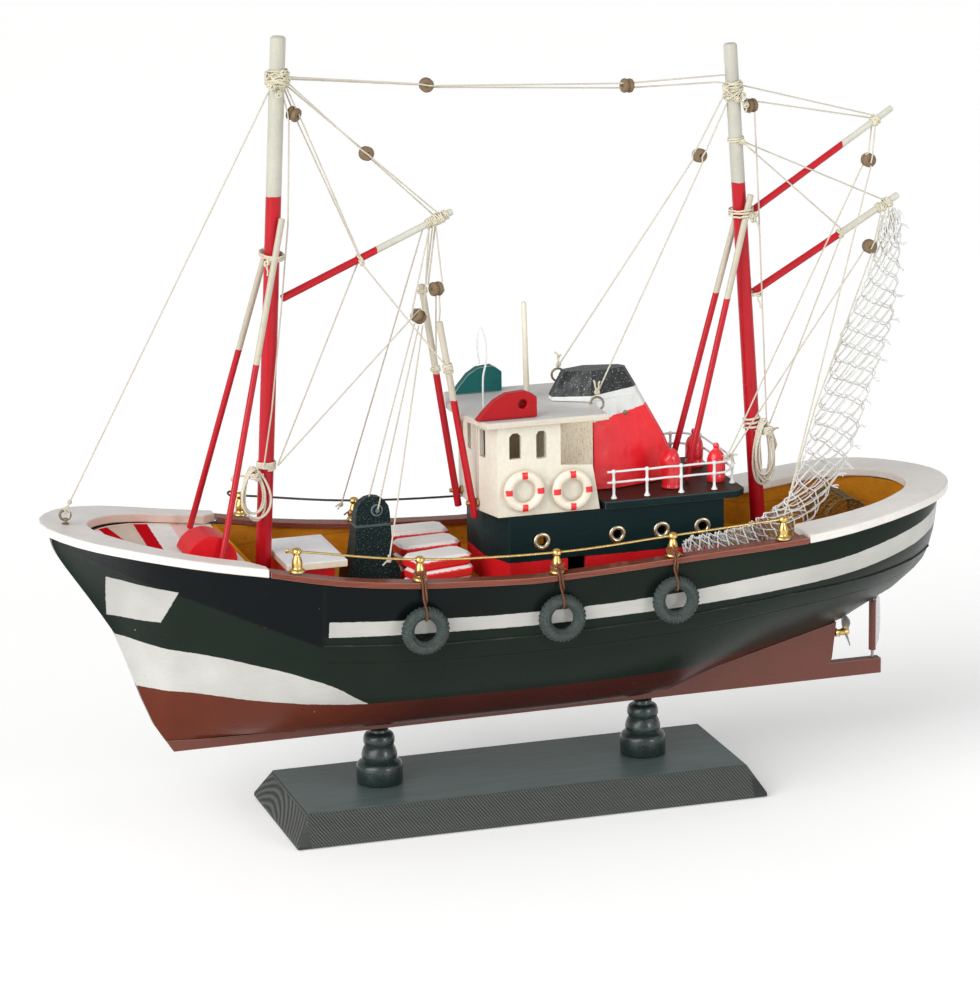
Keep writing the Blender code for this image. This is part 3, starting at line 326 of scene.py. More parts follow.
def hull_paint():
    finish = Finish("hull_paint", specular=0.11)
    wob = (finish.cloud(0.35, 2.0) - 0.5) * 0.9
    fine = (finish.cloud(1.6, 2.0) - 0.5) * 0.35
    z = finish.z + wob * 0.5 + fine
    x = finish.x + fine * 2
    top = finish.sheer_line(((-205, 124.0), (-190, 119.5), (-160, 113.2), (-130, 107.6), (-98, 104.6),
                             (-48, 100.6), (3, 99.4), (42, 100.2), (93, 102.6), (120, 104)), (-210, 90),
                             (130, 130))
    low = finish.sheer_line(((-205, 114.5), (-190, 110.0), (-160, 103.4), (-130, 98.8), (-98, 96.1),
                             (-48, 94.1), (3, 93.3), (42, 94.1), (93, 95.6), (120, 97)), (-210, 90),
                             (130, 130))
    stripe = finish.step(z - low, 0, 0.1) * (1 - finish.step(z - top, 0, 0.1))
    stripe = stripe * (1 - finish.step(x, 93.0, 0.1))
    water = finish.sheer_line(((-205, 61), (60, 61), (73, 61), (100, 63), (123, 65), (144, 67), (165, 69),
                               (205, 72)), (-210, 40), (210, 110))
    crest = finish.sheer_line(((-205, 50), (60, 55), (73, 61), (95, 74), (125, 83.5), (156, 89), (175, 93),
                               (205, 96)), (-210, 40), (210, 110))
    below = 1 - finish.step(z - water, 0, 0.08)
    wedge = finish.step(z - water, 0, 0.08) * (1 - finish.step(z - crest, 0, 0.08)) * finish.step(x, 71, 0.5)
    rise = z - 102.1
    patch = finish.step(x + rise * 0.35, 159.0, 0.12) * (1 - finish.step(x - rise * 0.12, 177.8, 0.12))
    patch = patch * finish.step(rise, 0, 0.12) * (1 - finish.step(rise - (x - 153.6) * 0.176, 15.7, 0.12))
    bow = finish.step(x, 95.0, 2.0)
    # Painted reflection: the black is painted darker on the upper bow, and above the stripe's lower edge aft
    # of it, fading out amidships, for the dark surroundings the hull reflects there; the same mask makes it
    # glossier.
    painted_dark_reflection = bow * finish.step(z - (x - 105.5) * 0.43, 95.5, 0.8)
    painted_dark_reflection = painted_dark_reflection.most((1 - bow) * finish.step(z - low, 0, 0.8) * finish.step(x, 10.0, 90.0))
    fold = finish.sheer_line(((-205, 91.5), (-160, 88.2), (-108, 85.0), (-53, 81.6), (3, 80.3), (43, 80.9),
                              (93, 83.8), (130, 87.6), (165, 92.6), (205, 98)), (-210, 70), (210, 110))
    crease = (1 - finish.step(abs(finish.z + wob * 0.3 - fold), 0.3, 0.2)) * (1 - finish.step(x, 95.0, 3.0))
    # Painted shade: the brown below the waterline is painted darker amidships, fading out towards both ends,
    # for the shade under the turn of the hull.
    shade = finish.span(finish.x, -185.0, 70.0, 30.0)
    white = stripe.most(wedge).most(patch)
    brown = finish.blend(BROWN, (0.050, 0.011, 0.008), shade)
    colour = finish.blend(finish.blend(HULL_BLACK, (0.003, 0.005, 0.006), painted_dark_reflection), brown, below)
    colour = finish.blend(colour, WHITE, white)
    streaks = finish.cloud(0.9, 4.0, 0.6, stretch=(0.05, 0.6, 1.0))
    drift = finish.cloud(0.03, 2.0)
    mottle = finish.cloud(0.5, 4.0, 0.6)
    nib = finish.spots(0.16, 0.06, 0.03)
    dust = finish.spots(0.07, 0.022, 0.012, (11.0, 3.0, 5.0))
    colour = finish.tone(colour, drift, 0.85, 1.15)
    colour = finish.tone(colour, streaks, 0.96, 1.04)
    colour = finish.blend(colour, (0.45, 0.44, 0.38), dust * 0.7)
    finish.feed("Base Color", colour)
    finish.feed("Roughness", 0.30 + (mottle - 0.5) * 0.16 + white * 0.1 - painted_dark_reflection * 0.1)
    finish.raise_by((streaks, 0.09, 0.5), (mottle, 0.12, 0.3), (nib, 0.22, 0.7), (white, 0.06, 0.8),
                    (1 - crease, 0.25, 0.8))
    return finish


def stand_stain():
    finish = Finish("stand_stain", specular=0.5)
    top = finish.step(finish.z, 13.2, 0.12)
    side = 1 - top
    fine = finish.cloud(2.4, 4.0, 0.6, stretch=(0.035, 1, 1))
    long = finish.cloud(0.55, 3.0, 0.6, stretch=(0.05, 1, 1))
    saw = finish.node("ShaderNodeTexWave", {"wave_type": "BANDS", "bands_direction": "X"}, {
        "Vector": finish.stretched((1, 0.4, 1), (0, math.radians(-38), 0)), "Scale": 0.28, "Distortion": 1.6,
        "Detail": 2.0, "Detail Scale": 0.7}, output="Fac")
    rings = finish.node("ShaderNodeTexWave", {"wave_type": "RINGS", "rings_direction": "X"}, {
        "Vector": finish.stretched((0.3, 1, 1), shift=(0, 12, 26)), "Scale": 0.11,
        "Distortion": 2.0}, output="Fac")
    ends = finish.step(abs(finish.x), 100.2, 0.3) * side
    marks = finish.node("ShaderNodeMix", {"data_type": "FLOAT"}, {0: ends, 2: saw, 3: rings})
    # Painted reflection: the top is painted far lighter than the sides, for the bright surroundings it
    # reflects at a low angle.
    colour = finish.blend((0.010, 0.014, 0.0145), (0.085, 0.118, 0.112), top)
    colour = finish.tone(colour, fine, 0.62, 1.42)
    colour = finish.tone(colour, long, 0.85, 1.15)
    rough_face = finish.blend(colour, (0.15, 0.155, 0.135), side * marks * (0.25 + 0.55 * fine))
    rub = finish.step(finish.worn() * (0.5 + fine), 0.7, 0.15)
    finish.feed("Base Color", finish.blend(rough_face, (0.09, 0.09, 0.085), rub * 0.6))
    finish.feed("Roughness", 0.40 + side * 0.22 + (fine - 0.5) * 0.2)
    finish.raise_by((fine, 0.16, 0.7), (long, 0.14, 0.5), (side * marks, 0.35, 0.8))
    return finish


def pillar_stain():
    finish = Finish("pillar_stain", lacquer=0.35)
    speck = finish.cloud(2.6, 4.0, 0.7)
    drift = finish.cloud(0.2, 2.0)
    turning = finish.cloud(1.0, 3.0, stretch=(0.1, 0.1, 3.0))
    colour = finish.tone((0.010, 0.022, 0.020), speck, 0.5, 1.6)
    dust = finish.step(speck, 0.62, 0.05)
    finish.feed("Base Color", finish.blend(colour, (0.13, 0.17, 0.16), dust * 0.7))
    finish.feed("Roughness", 0.30 + (drift - 0.5) * 0.3)
    finish.raise_by((speck, 0.16, 0.6), (turning, 0.15, 0.5))
    return finish


def bare_wood(name, colour, along=(0.08, 1, 1), rough=0.62):
    finish = Finish(name)
    fine = finish.cloud(2.2, 4.0, 0.65, stretch=along)
    wide = finish.cloud(0.4, 3.0, 0.6, stretch=along)
    finish.feed("Base Color", finish.tone(finish.tone(colour, fine, 0.75, 1.25), wide, 0.85, 1.15))
    finish.vary_rough(rough, fine, 0.3)
    finish.raise_by((fine, 0.2, 0.7), (wide, 0.15, 0.5))
    return finish


def deck_paint():
    """Ochre paint on the deck and inside the bulwark, thin in places, with patches of grime and a dark seam
    line; painted shade under the deckhouse and in the fore corners by the foredeck.
    """
    finish = Finish("deck_ochre", specular=0.12)
    drift = finish.cloud(0.07, 3.0)
    strokes = finish.cloud(1.0, 4.0, 0.6, stretch=(0.08, 1, 1))
    grime = finish.step(finish.cloud(0.35, 4.0, 0.7), 0.62, 0.08)
    seam = 1 - finish.step(abs(finish.z - 113.2), 0.25, 0.1)
    # Painted shade: the deck inside the hollow deckhouse is painted near black.
    house_floor_shade = finish.span(finish.x, -88.0, 5.5, 0.3) * (1 - finish.step(abs(finish.y), 28.6, 0.3))
    colour = finish.tone(finish.tone(OCHRE, drift, 0.8, 1.25), strokes, 0.88, 1.12)
    colour = finish.blend(colour, (0.09, 0.04, 0.012), (grime * 0.25).most(seam * 0.35))
    # Painted shade: the deck's outer corners at its fore end, by the foredeck, are painted near black as well.
    end = finish.step(abs(finish.y), 42.1, 0.1) * finish.step(finish.x, 119.5, 0.3)
    end = end * (1 - finish.step(finish.z, 103.6, 0.05))
    finish.feed("Base Color", finish.blend(colour, (0.005, 0.005, 0.005), house_floor_shade.most(end)))
    finish.vary_rough(0.42, strokes, 0.3)
    finish.raise_by((strokes, 0.16, 0.6), (drift, 0.2, 0.3))
    return finish


def house_paint():
    finish = Finish("house_paint", specular=0.11)
    line = finish.z + (finish.cloud(0.4, 2.0) - 0.5) * 0.8
    colour = finish.blend((0.50, 0.010, 0.014), GREEN_BLACK, finish.step(line, 114.8, 0.08))
    return brush_paint(finish, colour, 0.42, depth=1.3, wear=WORN_GREEN)


def slab_paint():
    finish = Finish("slab_paint", specular=0.12)
    top = finish.step(finish.z, 138.15, 0.08)
    inner = finish.step(33.0 - abs(finish.y) + (finish.cloud(0.6) - 0.5), 1.4, 0.2)
    wide = finish.cloud(0.7, 4.0, 0.65, stretch=(0.2, 1, 1))
    colour = finish.blend(GREEN_BLACK, (0.036, 0.019, 0.015), top * inner)
    return brush_paint(finish, finish.tone(colour, wide, 0.6, 1.45), 0.42, depth=2.0, wear=WORN_GREEN)


def cabin_paint():
    """Cream enamel with the joints of the corner panels, grimy at the joints."""
    finish = Finish("cabin_cream", lacquer=0.1, specular=0.4)
    front = finish.step(finish.x, 12.9, 0.1)
    joint = (1 - finish.step(abs(abs(finish.y) - 14.0), 0.30, 0.12)) * front
    low = 1 - finish.step(finish.z, 136.4, 0.8)
    base = finish.blend((0.66, 0.62, 0.52), (0.30, 0.22, 0.17), joint * 0.8)
    base = finish.blend(base, (0.62, 0.54, 0.40), low * 0.35)
    return brush_paint(finish, base, 0.40, streak=(0.5, 0.5, 0.4), depth=0.5, wear=(0.60, 0.52, 0.38))


def raw_panel_lit():
    """Unsanded beige panel with short vertical scratches, its beige painted lighter than its own to make up
    for the roof's shade above it: painted light.
    """
    finish = Finish("raw_panel_lit")
    grain = finish.cloud(2.4, 4.0, 0.7, stretch=(1, 1, 0.10))
    fleck = finish.step(finish.cloud(3.0, 2.0, 0.6, stretch=(1.2, 1.2, 0.3)), 0.60, 0.05)
    # Painted light: the base is lighter than the panel's own beige, to offset the shade under the roof.
    colour = finish.tone((0.97, 0.86, 0.66), grain, 0.82, 1.12)
    finish.feed("Base Color", finish.blend(colour, (0.36, 0.29, 0.19), fleck * 0.5))
    finish.vary_rough(0.62, grain, 0.25)
    finish.raise_by((grain, 0.3, 0.8), (fleck, 0.12, 0.5))
    return finish


def roof_paint():
    finish = Finish("roof_paint", lacquer=0.15)
    top = finish.step(finish.z, 177.1, 0.12)
    crumbs = finish.cloud(1.6, 4.0, 0.75)
    # Painted shade: the top is painted a cool grey instead of the edges' cream, for the weaker, cooler light
    # that falls on it from above.
    colour = finish.blend((0.56, 0.51, 0.42), (0.60, 0.585, 0.565), top)
    flaw = finish.step(crumbs, 0.60, 0.04) * (1 - top)
    return brush_paint(finish, finish.blend(colour, (0.45, 0.38, 0.20), flaw * 0.55), 0.34, depth=1.4)


def funnel_paint():
    """Red casing, white band with an unsteady edge, and the glossy black head."""
    finish = Finish("funnel_paint", lacquer=0.15)
    wave = (finish.cloud(0.25, 3.0) - 0.5) * 2.4
    white = finish.step(finish.z + wave + (finish.x + 36.0) * 0.16, 168.6, 0.12)
    black = finish.step(finish.z + wave * 0.1 + (finish.x + 36.0) * 0.05, 180.0, 0.10)
    colour = finish.blend((0.85, 0.008, 0.018), (0.74, 0.76, 0.73), white)
    colour = finish.blend(colour, (0.004, 0.007, 0.008), black)
    speck = finish.step(finish.cloud(1.4, 3.0, 0.7), 0.64, 0.03) * black
    lumps = finish.cloud(0.16, 2.0)
    mottle = finish.cloud(0.6, 3.0)
    colour = finish.tone(finish.blend(colour, (0.5, 0.5, 0.48), speck * 0.8), lumps, 0.94, 1.06)
    finish.feed("Base Color", colour)
    finish.vary_rough(0.32, mottle, 0.2)
    finish.raise_by((lumps, 0.9, 0.5), (mottle, 0.12, 0.3))
    return finish


def rail_brown():
    """Red-brown gloss on the waist rails, with the layers of the strip showing along its edge."""
    finish = Finish("rail_brown", lacquer=0.1, specular=0.3)
    layer = finish.cloud(1.4, 3.0, 0.6, stretch=(0.03, 0.8, 1.6))
    chips = finish.step(finish.cloud(1.1, 4.0, 0.7, stretch=(0.3, 1, 1)), 0.66, 0.04)
    rub = finish.step(finish.worn() * (0.4 + layer), 0.62, 0.14)
    colour = finish.tone((0.17, 0.040, 0.021), layer, 0.72, 1.35)
    colour = finish.blend(colour, (0.42, 0.20, 0.15), (rub * 0.55).most(chips * 0.3))
    finish.feed("Base Color", colour)
    finish.vary_rough(0.30, layer, 0.3)
    finish.raise_by((layer, 0.22, 0.8), (chips, 0.1, 0.4))
    return finish


def foredeck_paint():
    """White with three stripes painted across it, the first two bright red, beige between them."""
    finish = Finish("foredeck_paint", specular=0.0)
    bow = finish.x + (finish.cloud(0.3, 2.0) - 0.5) * 0.9
    first = finish.span(bow + finish.y * 0.13, 168.9, 174.6, 0.15)
    second = finish.span(bow - finish.y * 0.065, 153.3, 159.8, 0.15)
    third = finish.span(bow - finish.y * 0.06, 134.5, 142.5, 0.25)
    beige = finish.span(bow, 157.0, 172.0, 0.3)
    colour = finish.blend((0.76, 0.745, 0.72), (0.58, 0.48, 0.40), beige)
    colour = finish.blend(colour, (0.48, 0.006, 0.012), first.most(second))
    colour = finish.blend(colour, (0.74, 0.42, 0.38), third * 0.75)
    face = 1 - finish.step(finish.x, 121.3, 0.1)
    colour = finish.blend(colour, OCHRE, face)
    return brush_paint(finish, colour, 0.34, depth=0.7)


def box_paint():
    """Fish boxes: red sides with ragged brushed edges under white bevelled lids."""
    finish = Finish("box_paint", lacquer=0.2)
    ragged = (finish.cloud(0.7, 4.0, 0.7) - 0.5) * 1.3
    height = (finish.z - (DECK + GAP)) % 4.9
    lid = finish.step(height + ragged, 3.75, 0.10)
    top = finish.step(finish.z, DECK + GAP + 14.55, 0.1)
    colour = finish.blend((0.74, 0.02, 0.025), (0.79, 0.775, 0.75), lid.most(top))
    return brush_paint(finish, colour, 0.38, depth=1.8)


def hatch_paint():
    finish = Finish("hatch_paint", lacquer=0.2)
    cover = finish.step(finish.z + (finish.cloud(0.8) - 0.5) * 0.3, 118.1, 0.08)
    top = finish.step(finish.z, 120.95, 0.1)
    lid = finish.blend((0.80, 0.76, 0.62), (0.76, 0.76, 0.78), top)
    colour = finish.blend((0.70, 0.012, 0.02), lid, cover)
    return brush_paint(finish, colour, 0.34, depth=1.3)


DRUM = (60.6, 138.3, 10.1)  # the middle of the drum end, and the face that it stands on


def winch_paint():
    finish = Finish("winch_paint", specular=0.14)
    speck = finish.cloud(1.4, 4.0, 0.7)
    salt = finish.step(speck, 0.61, 0.04)
    band = finish.span(finish.z + (finish.cloud(1.5) - 0.5) * 0.4, 131.0, 132.2, 0.15)
    across = finish.x - DRUM[0]
    height = finish.z - DRUM[1]
    reach = (across * across + height * height) ** 0.5
    # Painted highlight: two lighter rings on the drum end, at its rim and round its middle.
    rings = finish.span(reach, 2.0, 2.75, 0.15).most(1 - finish.step(reach, 0.9, 0.15))
    rings = rings * finish.step(finish.y, DRUM[2], 0.1)
    dark = finish.tone(GREEN_BLACK, speck, 0.6, 1.6)
    colour = finish.blend(dark, (0.26, 0.32, 0.31), (salt * 0.55).most(band * 0.25))
    colour = finish.blend(colour, (0.20, 0.25, 0.25), rings * 0.7)
    finish.feed("Base Color", colour)
    finish.vary_rough(0.40, speck, 0.4)
    finish.raise_by((speck, 0.35, 0.8), (band, 0.3, 0.8))
    return finish


def metal(name, colour, rough=0.3, stain=(0.2, 0.12, 0.04), amount=0.35):
    finish = Finish(name, metal=1.0)
    cloud = finish.cloud(0.9, 4.0, 0.65)
    fine = finish.cloud(5.0, 2.0)
    dull = finish.step(cloud, 0.54, 0.15)
    finish.feed("Base Color", finish.blend(finish.tone(colour, fine, 0.85, 1.1), stain, dull * amount))
    finish.feed("Roughness", rough + dull * 0.25 + (fine - 0.5) * 0.1)
    finish.raise_by((cloud, 0.05, 0.4), (fine, 0.02, 0.4))
    return finish


def tyre_rubber():
    """Moulded rubber with fine ribs across its wall, grey with bloom."""
    finish = Finish("tyre_rubber", specular=0.35)
    own = finish.node("ShaderNodeUVMap", {"uv_map": "UVMap"})
    split = finish.node("ShaderNodeSeparateXYZ", inputs={0: own})
    turn, section = (Value(finish, split.socket.node.outputs[i]) for i in range(2))
    cloud = finish.cloud(0.8, 4.0, 0.7)
    fine = finish.cloud(5.0, 3.0)
    rib = finish.step((turn * (64 * 2 * math.pi)).sine(), 0.1, 0.5)
    hoop = finish.step((section * (22 * math.pi)).sine(), 0.3, 0.4)
    bloom = finish.step(cloud, 0.56, 0.12)
    colour = finish.tone((0.022, 0.033, 0.030), fine, 0.7, 1.3)
    colour = finish.blend(colour, (0.105, 0.130, 0.118), bloom * 0.35 + rib * 0.30)
    finish.feed("Base Color", colour)
    finish.vary_rough(0.60, cloud, 0.2)
    finish.raise_by((rib, 0.22, 0.6), (hoop, 0.12, 0.4), (fine, 0.06, 0.5), (cloud, 0.12, 0.4))
    return finish


def laid(name, colour, lay, strands=3, rough=0.85, dirt=(0.42, 0.34, 0.20), groove=0.14, groove_shade_depth=0.45):
    """Laid cord: its strands wind by the piece's own map, millimetres along it and turns around it."""
    finish = Finish(name, specular=0.2)
    own = finish.node("ShaderNodeUVMap", {"uv_map": "lay"})
    split = finish.node("ShaderNodeSeparateXYZ", inputs={0: own})
    along, around = (Value(finish, split.socket.node.outputs[i]) for i in range(2))
    strand = ((around - along / lay) * (strands * 2 * math.pi)).sine() * 0.5 + 0.5
    dirty = finish.cloud(0.10, 3.0, 0.6)
    fibre = finish.cloud(5.0, 3.0, 0.7)
    shade = finish.blend(colour, dirt, finish.step(dirty, 0.58, 0.2) * 0.30)
    # Painted shade: the colour is darkened in the grooves between the strands.
    deep = finish.blend((1.0, 1.0, 1.0), (1 - groove_shade_depth,) * 3, 1 - finish.step(strand, 0.22, 0.22))
    shade = finish.blend(shade, deep, 1.0, "MULTIPLY")
    finish.feed("Base Color", finish.tone(shade, fibre, 0.82, 1.15))
    finish.vary_rough(rough, fibre, 0.15)
    finish.raise_by((strand, groove, 0.9), (fibre, 0.06, 0.6))
    return finish


def dark_inside():
    """Unlit inner face of the deckhouse."""
    finish = Finish("house_inside", rough=0.8, specular=0.2)
    grain = finish.cloud(0.8, 3.0)
    finish.feed("Base Color", finish.tone((0.004, 0.0045, 0.0045), grain, 0.7, 1.3))
    finish.vary_rough(0.8, grain, 0.2)
    return finish


def life_ring_paint():
    """Cream ring with four brushed red marks, at the top, the bottom and both sides."""
    finish = Finish("life_ring_paint", lacquer=0.2)
    shake = (finish.cloud(0.9, 3.0) - 0.5) * 0.9
    aft = 1 - finish.step(finish.x, -9.35, 0.1)
    across = abs(finish.x - 1.4 + aft * 21.5) + shake
    height = abs(finish.z - 146.4 + aft * 1.3) + shake * 0.7
    side = finish.span(across, 5.5, 8.6, 0.12) * (1 - finish.step(height, 1.3, 0.12))
    ends = finish.span(height, 5.5, 8.6, 0.12) * (1 - finish.step(across, 1.25, 0.12))
    colour = finish.blend((0.73, 0.66, 0.54), (0.70, 0.01, 0.02), side.most(ends))
    return brush_paint(finish, colour, 0.34, depth=1.2)


def floor_paint():
    finish = Finish("floor_paper", rough=0.7, specular=0.15)
    weave = finish.cloud(0.02, 3.0)
    finish.feed("Base Color", finish.tone((0.93, 0.93, 0.925), weave, 0.995, 1.005))
    finish.vary_rough(0.7, weave, 0.05)
    finish.feed("Emission Color", (1.0, 1.0, 1.0))
    finish.feed("Emission Strength", 0.21)
    return finish


# Shaping

def only(obj):
    if bpy.context.object and bpy.context.object.mode != "OBJECT":
        bpy.ops.object.mode_set(mode="OBJECT")
    bpy.ops.object.select_all(action="DESELECT")
    obj.select_set(True)
    bpy.context.view_layer.objects.active = obj


def edit(obj):
    only(obj)
    bpy.ops.object.mode_set(mode="EDIT")
    bpy.ops.mesh.select_all(action="SELECT")


def leave_edit():
    bpy.ops.object.mode_set(mode="OBJECT")


def modify(obj, kind, **settings):
    only(obj)
    modifier = obj.modifiers.new(kind.lower(), kind)
    for name, setting in settings.items():
        setattr(modifier, name, setting)
    bpy.ops.object.modifier_apply(modifier=modifier.name)


def note_edges(obj):
    """Writes the attribute that paint wears by: 1 along eased edges, 0 where a wide face begins."""
    bm = bmesh.new()
    bm.from_mesh(obj.data)
    values = []
    for vertex in bm.verts:
        if any(f.calc_area() > 0.4 * MM * max(e.calc_length() for e in f.edges) for f in vertex.link_faces):
            values.append(0.0)
            continue
        turn = max((e.calc_face_angle(0.0) for e in vertex.link_edges if len(e.link_faces) == 2), default=0.0)
        values.append(min(max((turn - 0.22) / 0.25, 0.0), 1.0))
    bm.free()
    layer = obj.data.attributes.new("edge", "FLOAT", "POINT")
    layer.data.foreach_set("value", values)


def name_up(obj, name, body="trawler", instead=()):
    obj.name = name
    obj.data.name = name
    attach(obj, body)
    if instead:
        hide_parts(*instead)
    return obj


def dress(obj, *finishes, smooth=35.0):
    obj.data.materials.clear()
    for finish in finishes:
        obj.data.materials.append(finish.material)
    only(obj)
    bpy.ops.object.shade_smooth_by_angle(angle=math.radians(smooth))
    return obj


def coat(node, *finishes, edge=0.0, flat=0.3, smooth=35.0, where=None, segments=3, name=None):
    """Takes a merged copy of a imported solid, eases its edges and gives it its finishes."""
    obj = bpy.data.objects.new("piece", frame["nodes"][node].data.copy())
    bpy.context.scene.collection.objects.link(obj)
    edit(obj)
    bpy.ops.mesh.remove_doubles(threshold=2e-6)
    if flat:
        bpy.ops.mesh.dissolve_limited(angle_limit=math.radians(flat))
    leave_edit()
    if obj.data.has_custom_normals:
        bpy.ops.mesh.customdata_custom_splitnormals_clear()
    dress(obj, *finishes, smooth=smooth)
    if edge:
        modify(obj, "BEVEL", width=edge * MM, segments=segments, limit_method="ANGLE",
               angle_limit=math.radians(28), use_clamp_overlap=True, miter_outer="MITER_ARC")
        note_edges(obj)
        only(obj)
        bpy.ops.object.shade_smooth_by_angle(angle=math.radians(smooth))
        modify(obj, "WEIGHTED_NORMAL", keep_sharp=True)
    if where is not None:
        for face in obj.data.polygons:
            face.material_index = where(face.center / MM, face.normal)
    return name_up(obj, name or "painted_" + node, BODY_OF[node], (node,))


def set_upright(obj, foot, way=(0, 0, 1)):
    """Turns a piece made about the origin along +Z to its own direction and place."""
    turn = Vector((0, 0, 1)).rotation_difference(Vector(way).normalized()).to_matrix().to_4x4()
    obj.matrix_world = Matrix.Translation(Vector(foot) * MM) @ turn
    only(obj)
    bpy.ops.object.transform_apply(location=True, rotation=True, scale=True)
    return obj


def turned(profile, foot, way=(0, 0, 1), sides=32):
    """Turns a profile of (radius, height) as on a lathe: a disc, extruded and scaled ring by ring."""
    bpy.ops.object.select_all(action="DESELECT")
    radius, height = profile[0]
    bpy.ops.mesh.primitive_circle_add(vertices=sides, radius=radius * MM, fill_type="NGON",
                                      location=(0, 0, height * MM))
    obj = bpy.context.object
    bpy.ops.object.transform_apply(location=True, rotation=True, scale=True)
    bpy.ops.object.mode_set(mode="EDIT")
    bpy.ops.mesh.select_all(action="SELECT")
    for wide, high in profile[1:]:
        bpy.ops.mesh.extrude_region_move(TRANSFORM_OT_translate={"value": (0, 0, (high - height) * MM)})
        factor = wide / radius
        bpy.ops.transform.resize(value=(factor, factor, 1.0), center_override=(0, 0, 0))
        radius, height = wide, high
    bpy.ops.mesh.select_all(action="SELECT")
    bpy.ops.mesh.normals_make_consistent(inside=False)
    leave_edit()
    return set_upright(obj, foot, way)


def ring(centre, way, major, minor, segments=40, sides=12, flatten=1.0):
    """A round ring about its own axis."""
    bpy.ops.object.select_all(action="DESELECT")
    bpy.ops.mesh.primitive_torus_add(major_segments=segments, minor_segments=sides, major_radius=major * MM,
                                     minor_radius=minor * MM, location=(0, 0, 0))
    obj = bpy.context.object
    bpy.ops.object.mode_set(mode="EDIT")
    bpy.ops.mesh.select_all(action="SELECT")
    bpy.ops.transform.resize(value=(1.0, 1.0, flatten), center_override=(0, 0, 0))
    leave_edit()
    return set_upright(obj, centre, way)


def joined(pieces):
    only(pieces[0])
    for piece in pieces[1:]:
        piece.select_set(True)
    bpy.ops.object.join()
    return bpy.context.object


# Cord and wire

def straight(a, b, step=6.0):
    count = max(int(math.dist(a, b) / step), 1)
    return [tuple(np.array(a) + (np.array(b) - np.array(a)) * k / count) for k in range(count + 1)]


def taut(*points):
    """Straight runs from point to point."""
    line = [points[0]]
    for a, b in zip(points, points[1:]):
        line += straight(a, b)[1:]
    return line


def bent(points, fine=6):
    """A smooth line through loose points."""
    points = [np.asarray(p, float) for p in points]
    padded = [2 * points[0] - points[1]] + points + [2 * points[-1] - points[-2]]
    line = []
    for a, b, c, d in zip(padded, padded[1:], padded[2:], padded[3:]):
        for k in range(fine):
            t = k / fine
            line.append(0.5 * (2 * b + (c - a) * t + (2 * a - 5 * b + 4 * c - d) * t * t
                               + (3 * b - a - 3 * c + d) * t ** 3))
    return [tuple(p) for p in line] + [tuple(points[-1])]


def frame_of(way):
    """Unit vector along a spar, one across it towards port, and the third."""
    way = np.asarray(way, float) / np.linalg.norm(way)
    side = np.array((0.0, 1.0, 0.0)) if abs(way[1]) < 0.9 else np.array((1.0, 0.0, 0.0))
    side = side - way * side.dot(way)
    side /= np.linalg.norm(side)
    return way, side, np.cross(way, side)


def wraps(foot, way, radius, turns, pitch, start=0.0, tilt=0.0, wobble=0.0, fine=14):
    """Turns of cord round a spar; the radius may be two, across and along the model."""
    way, side, up = frame_of(way)
    wide, deep = radius if isinstance(radius, tuple) else (radius, radius)
    foot = np.asarray(foot, float)
    line = []
    for k in range(int(turns * fine) + 1):
        a = start + 2 * math.pi * k / fine
        lift = pitch * k / fine + tilt * math.cos(a) + wobble * rng.uniform(-1, 1)
        ease = 1 + 0.04 * wobble * rng.uniform(-1, 1)
        around = side * wide * math.cos(a) + up * deep * math.sin(a)
        line.append(tuple(foot + way * lift + around * ease))
    return line


def knot(place, way, size=1.0):
    """A small overhand knot: a tight double turn with one turn across it."""
    way, side, up = frame_of(way)
    place = np.asarray(place, float)
    return [wraps(place - way * size * 0.45, way, size * 0.55, 2.0, size * 0.45, fine=8),
            wraps(place - side * size * 0.1, side, size * 0.72, 1.0, size * 0.2, start=0.7, fine=8)]


def tail(place, way, length, droop=0.5):
    """A loose cut end."""
    way = np.asarray(way, float) / np.linalg.norm(way)
    place = np.asarray(place, float)
    points = []
    for k in range(4):
        t = k / 3
        off = np.array((rng.uniform(-1, 1), rng.uniform(-1, 1), rng.uniform(-1, 1))) * 0.12 * length * (k > 0)
        points.append(place + way * length * t + np.array((0, 0, -droop * length * t * t)) + off)
    return bent(points, 4)


def teardrop(top, wide, high, lean=0.0, depth=0.0, fine=26):
    """One hanging loop of a coil, narrow at its top."""
    line = []
    for k in range(fine + 1):
        a = 2 * math.pi * k / fine
        swell = 0.55 + 0.45 * math.sin(min(max((1 - math.cos(a)) / 2, 0), 1) * math.pi / 2)
        line.append((top[0] + wide * math.sin(a) * swell + lean * (1 - math.cos(a)) / 2,
                     top[1] + depth * (1 - math.cos(a)) / 2 + 0.35 * math.sin(a),
                     top[2] - high * (1 - math.cos(a)) / 2))
    return line


def hanging_coil(top, wide, high, count, depth=0.5):
    """Loops of slack cord hung up beside the mast, each lying a little differently."""
    line = []
    for k in range(count):
        line += teardrop((top[0] + rng.uniform(-0.7, 0.7), top[1] + 0.5 * k,
                          top[2] + rng.uniform(-1.0, 0.6)), wide * rng.uniform(0.62, 1.08),
                          high * rng.uniform(0.80, 1.06), rng.uniform(-1.6, 1.6),
                          depth * rng.uniform(0.2, 1.0))[:-1]
    return line


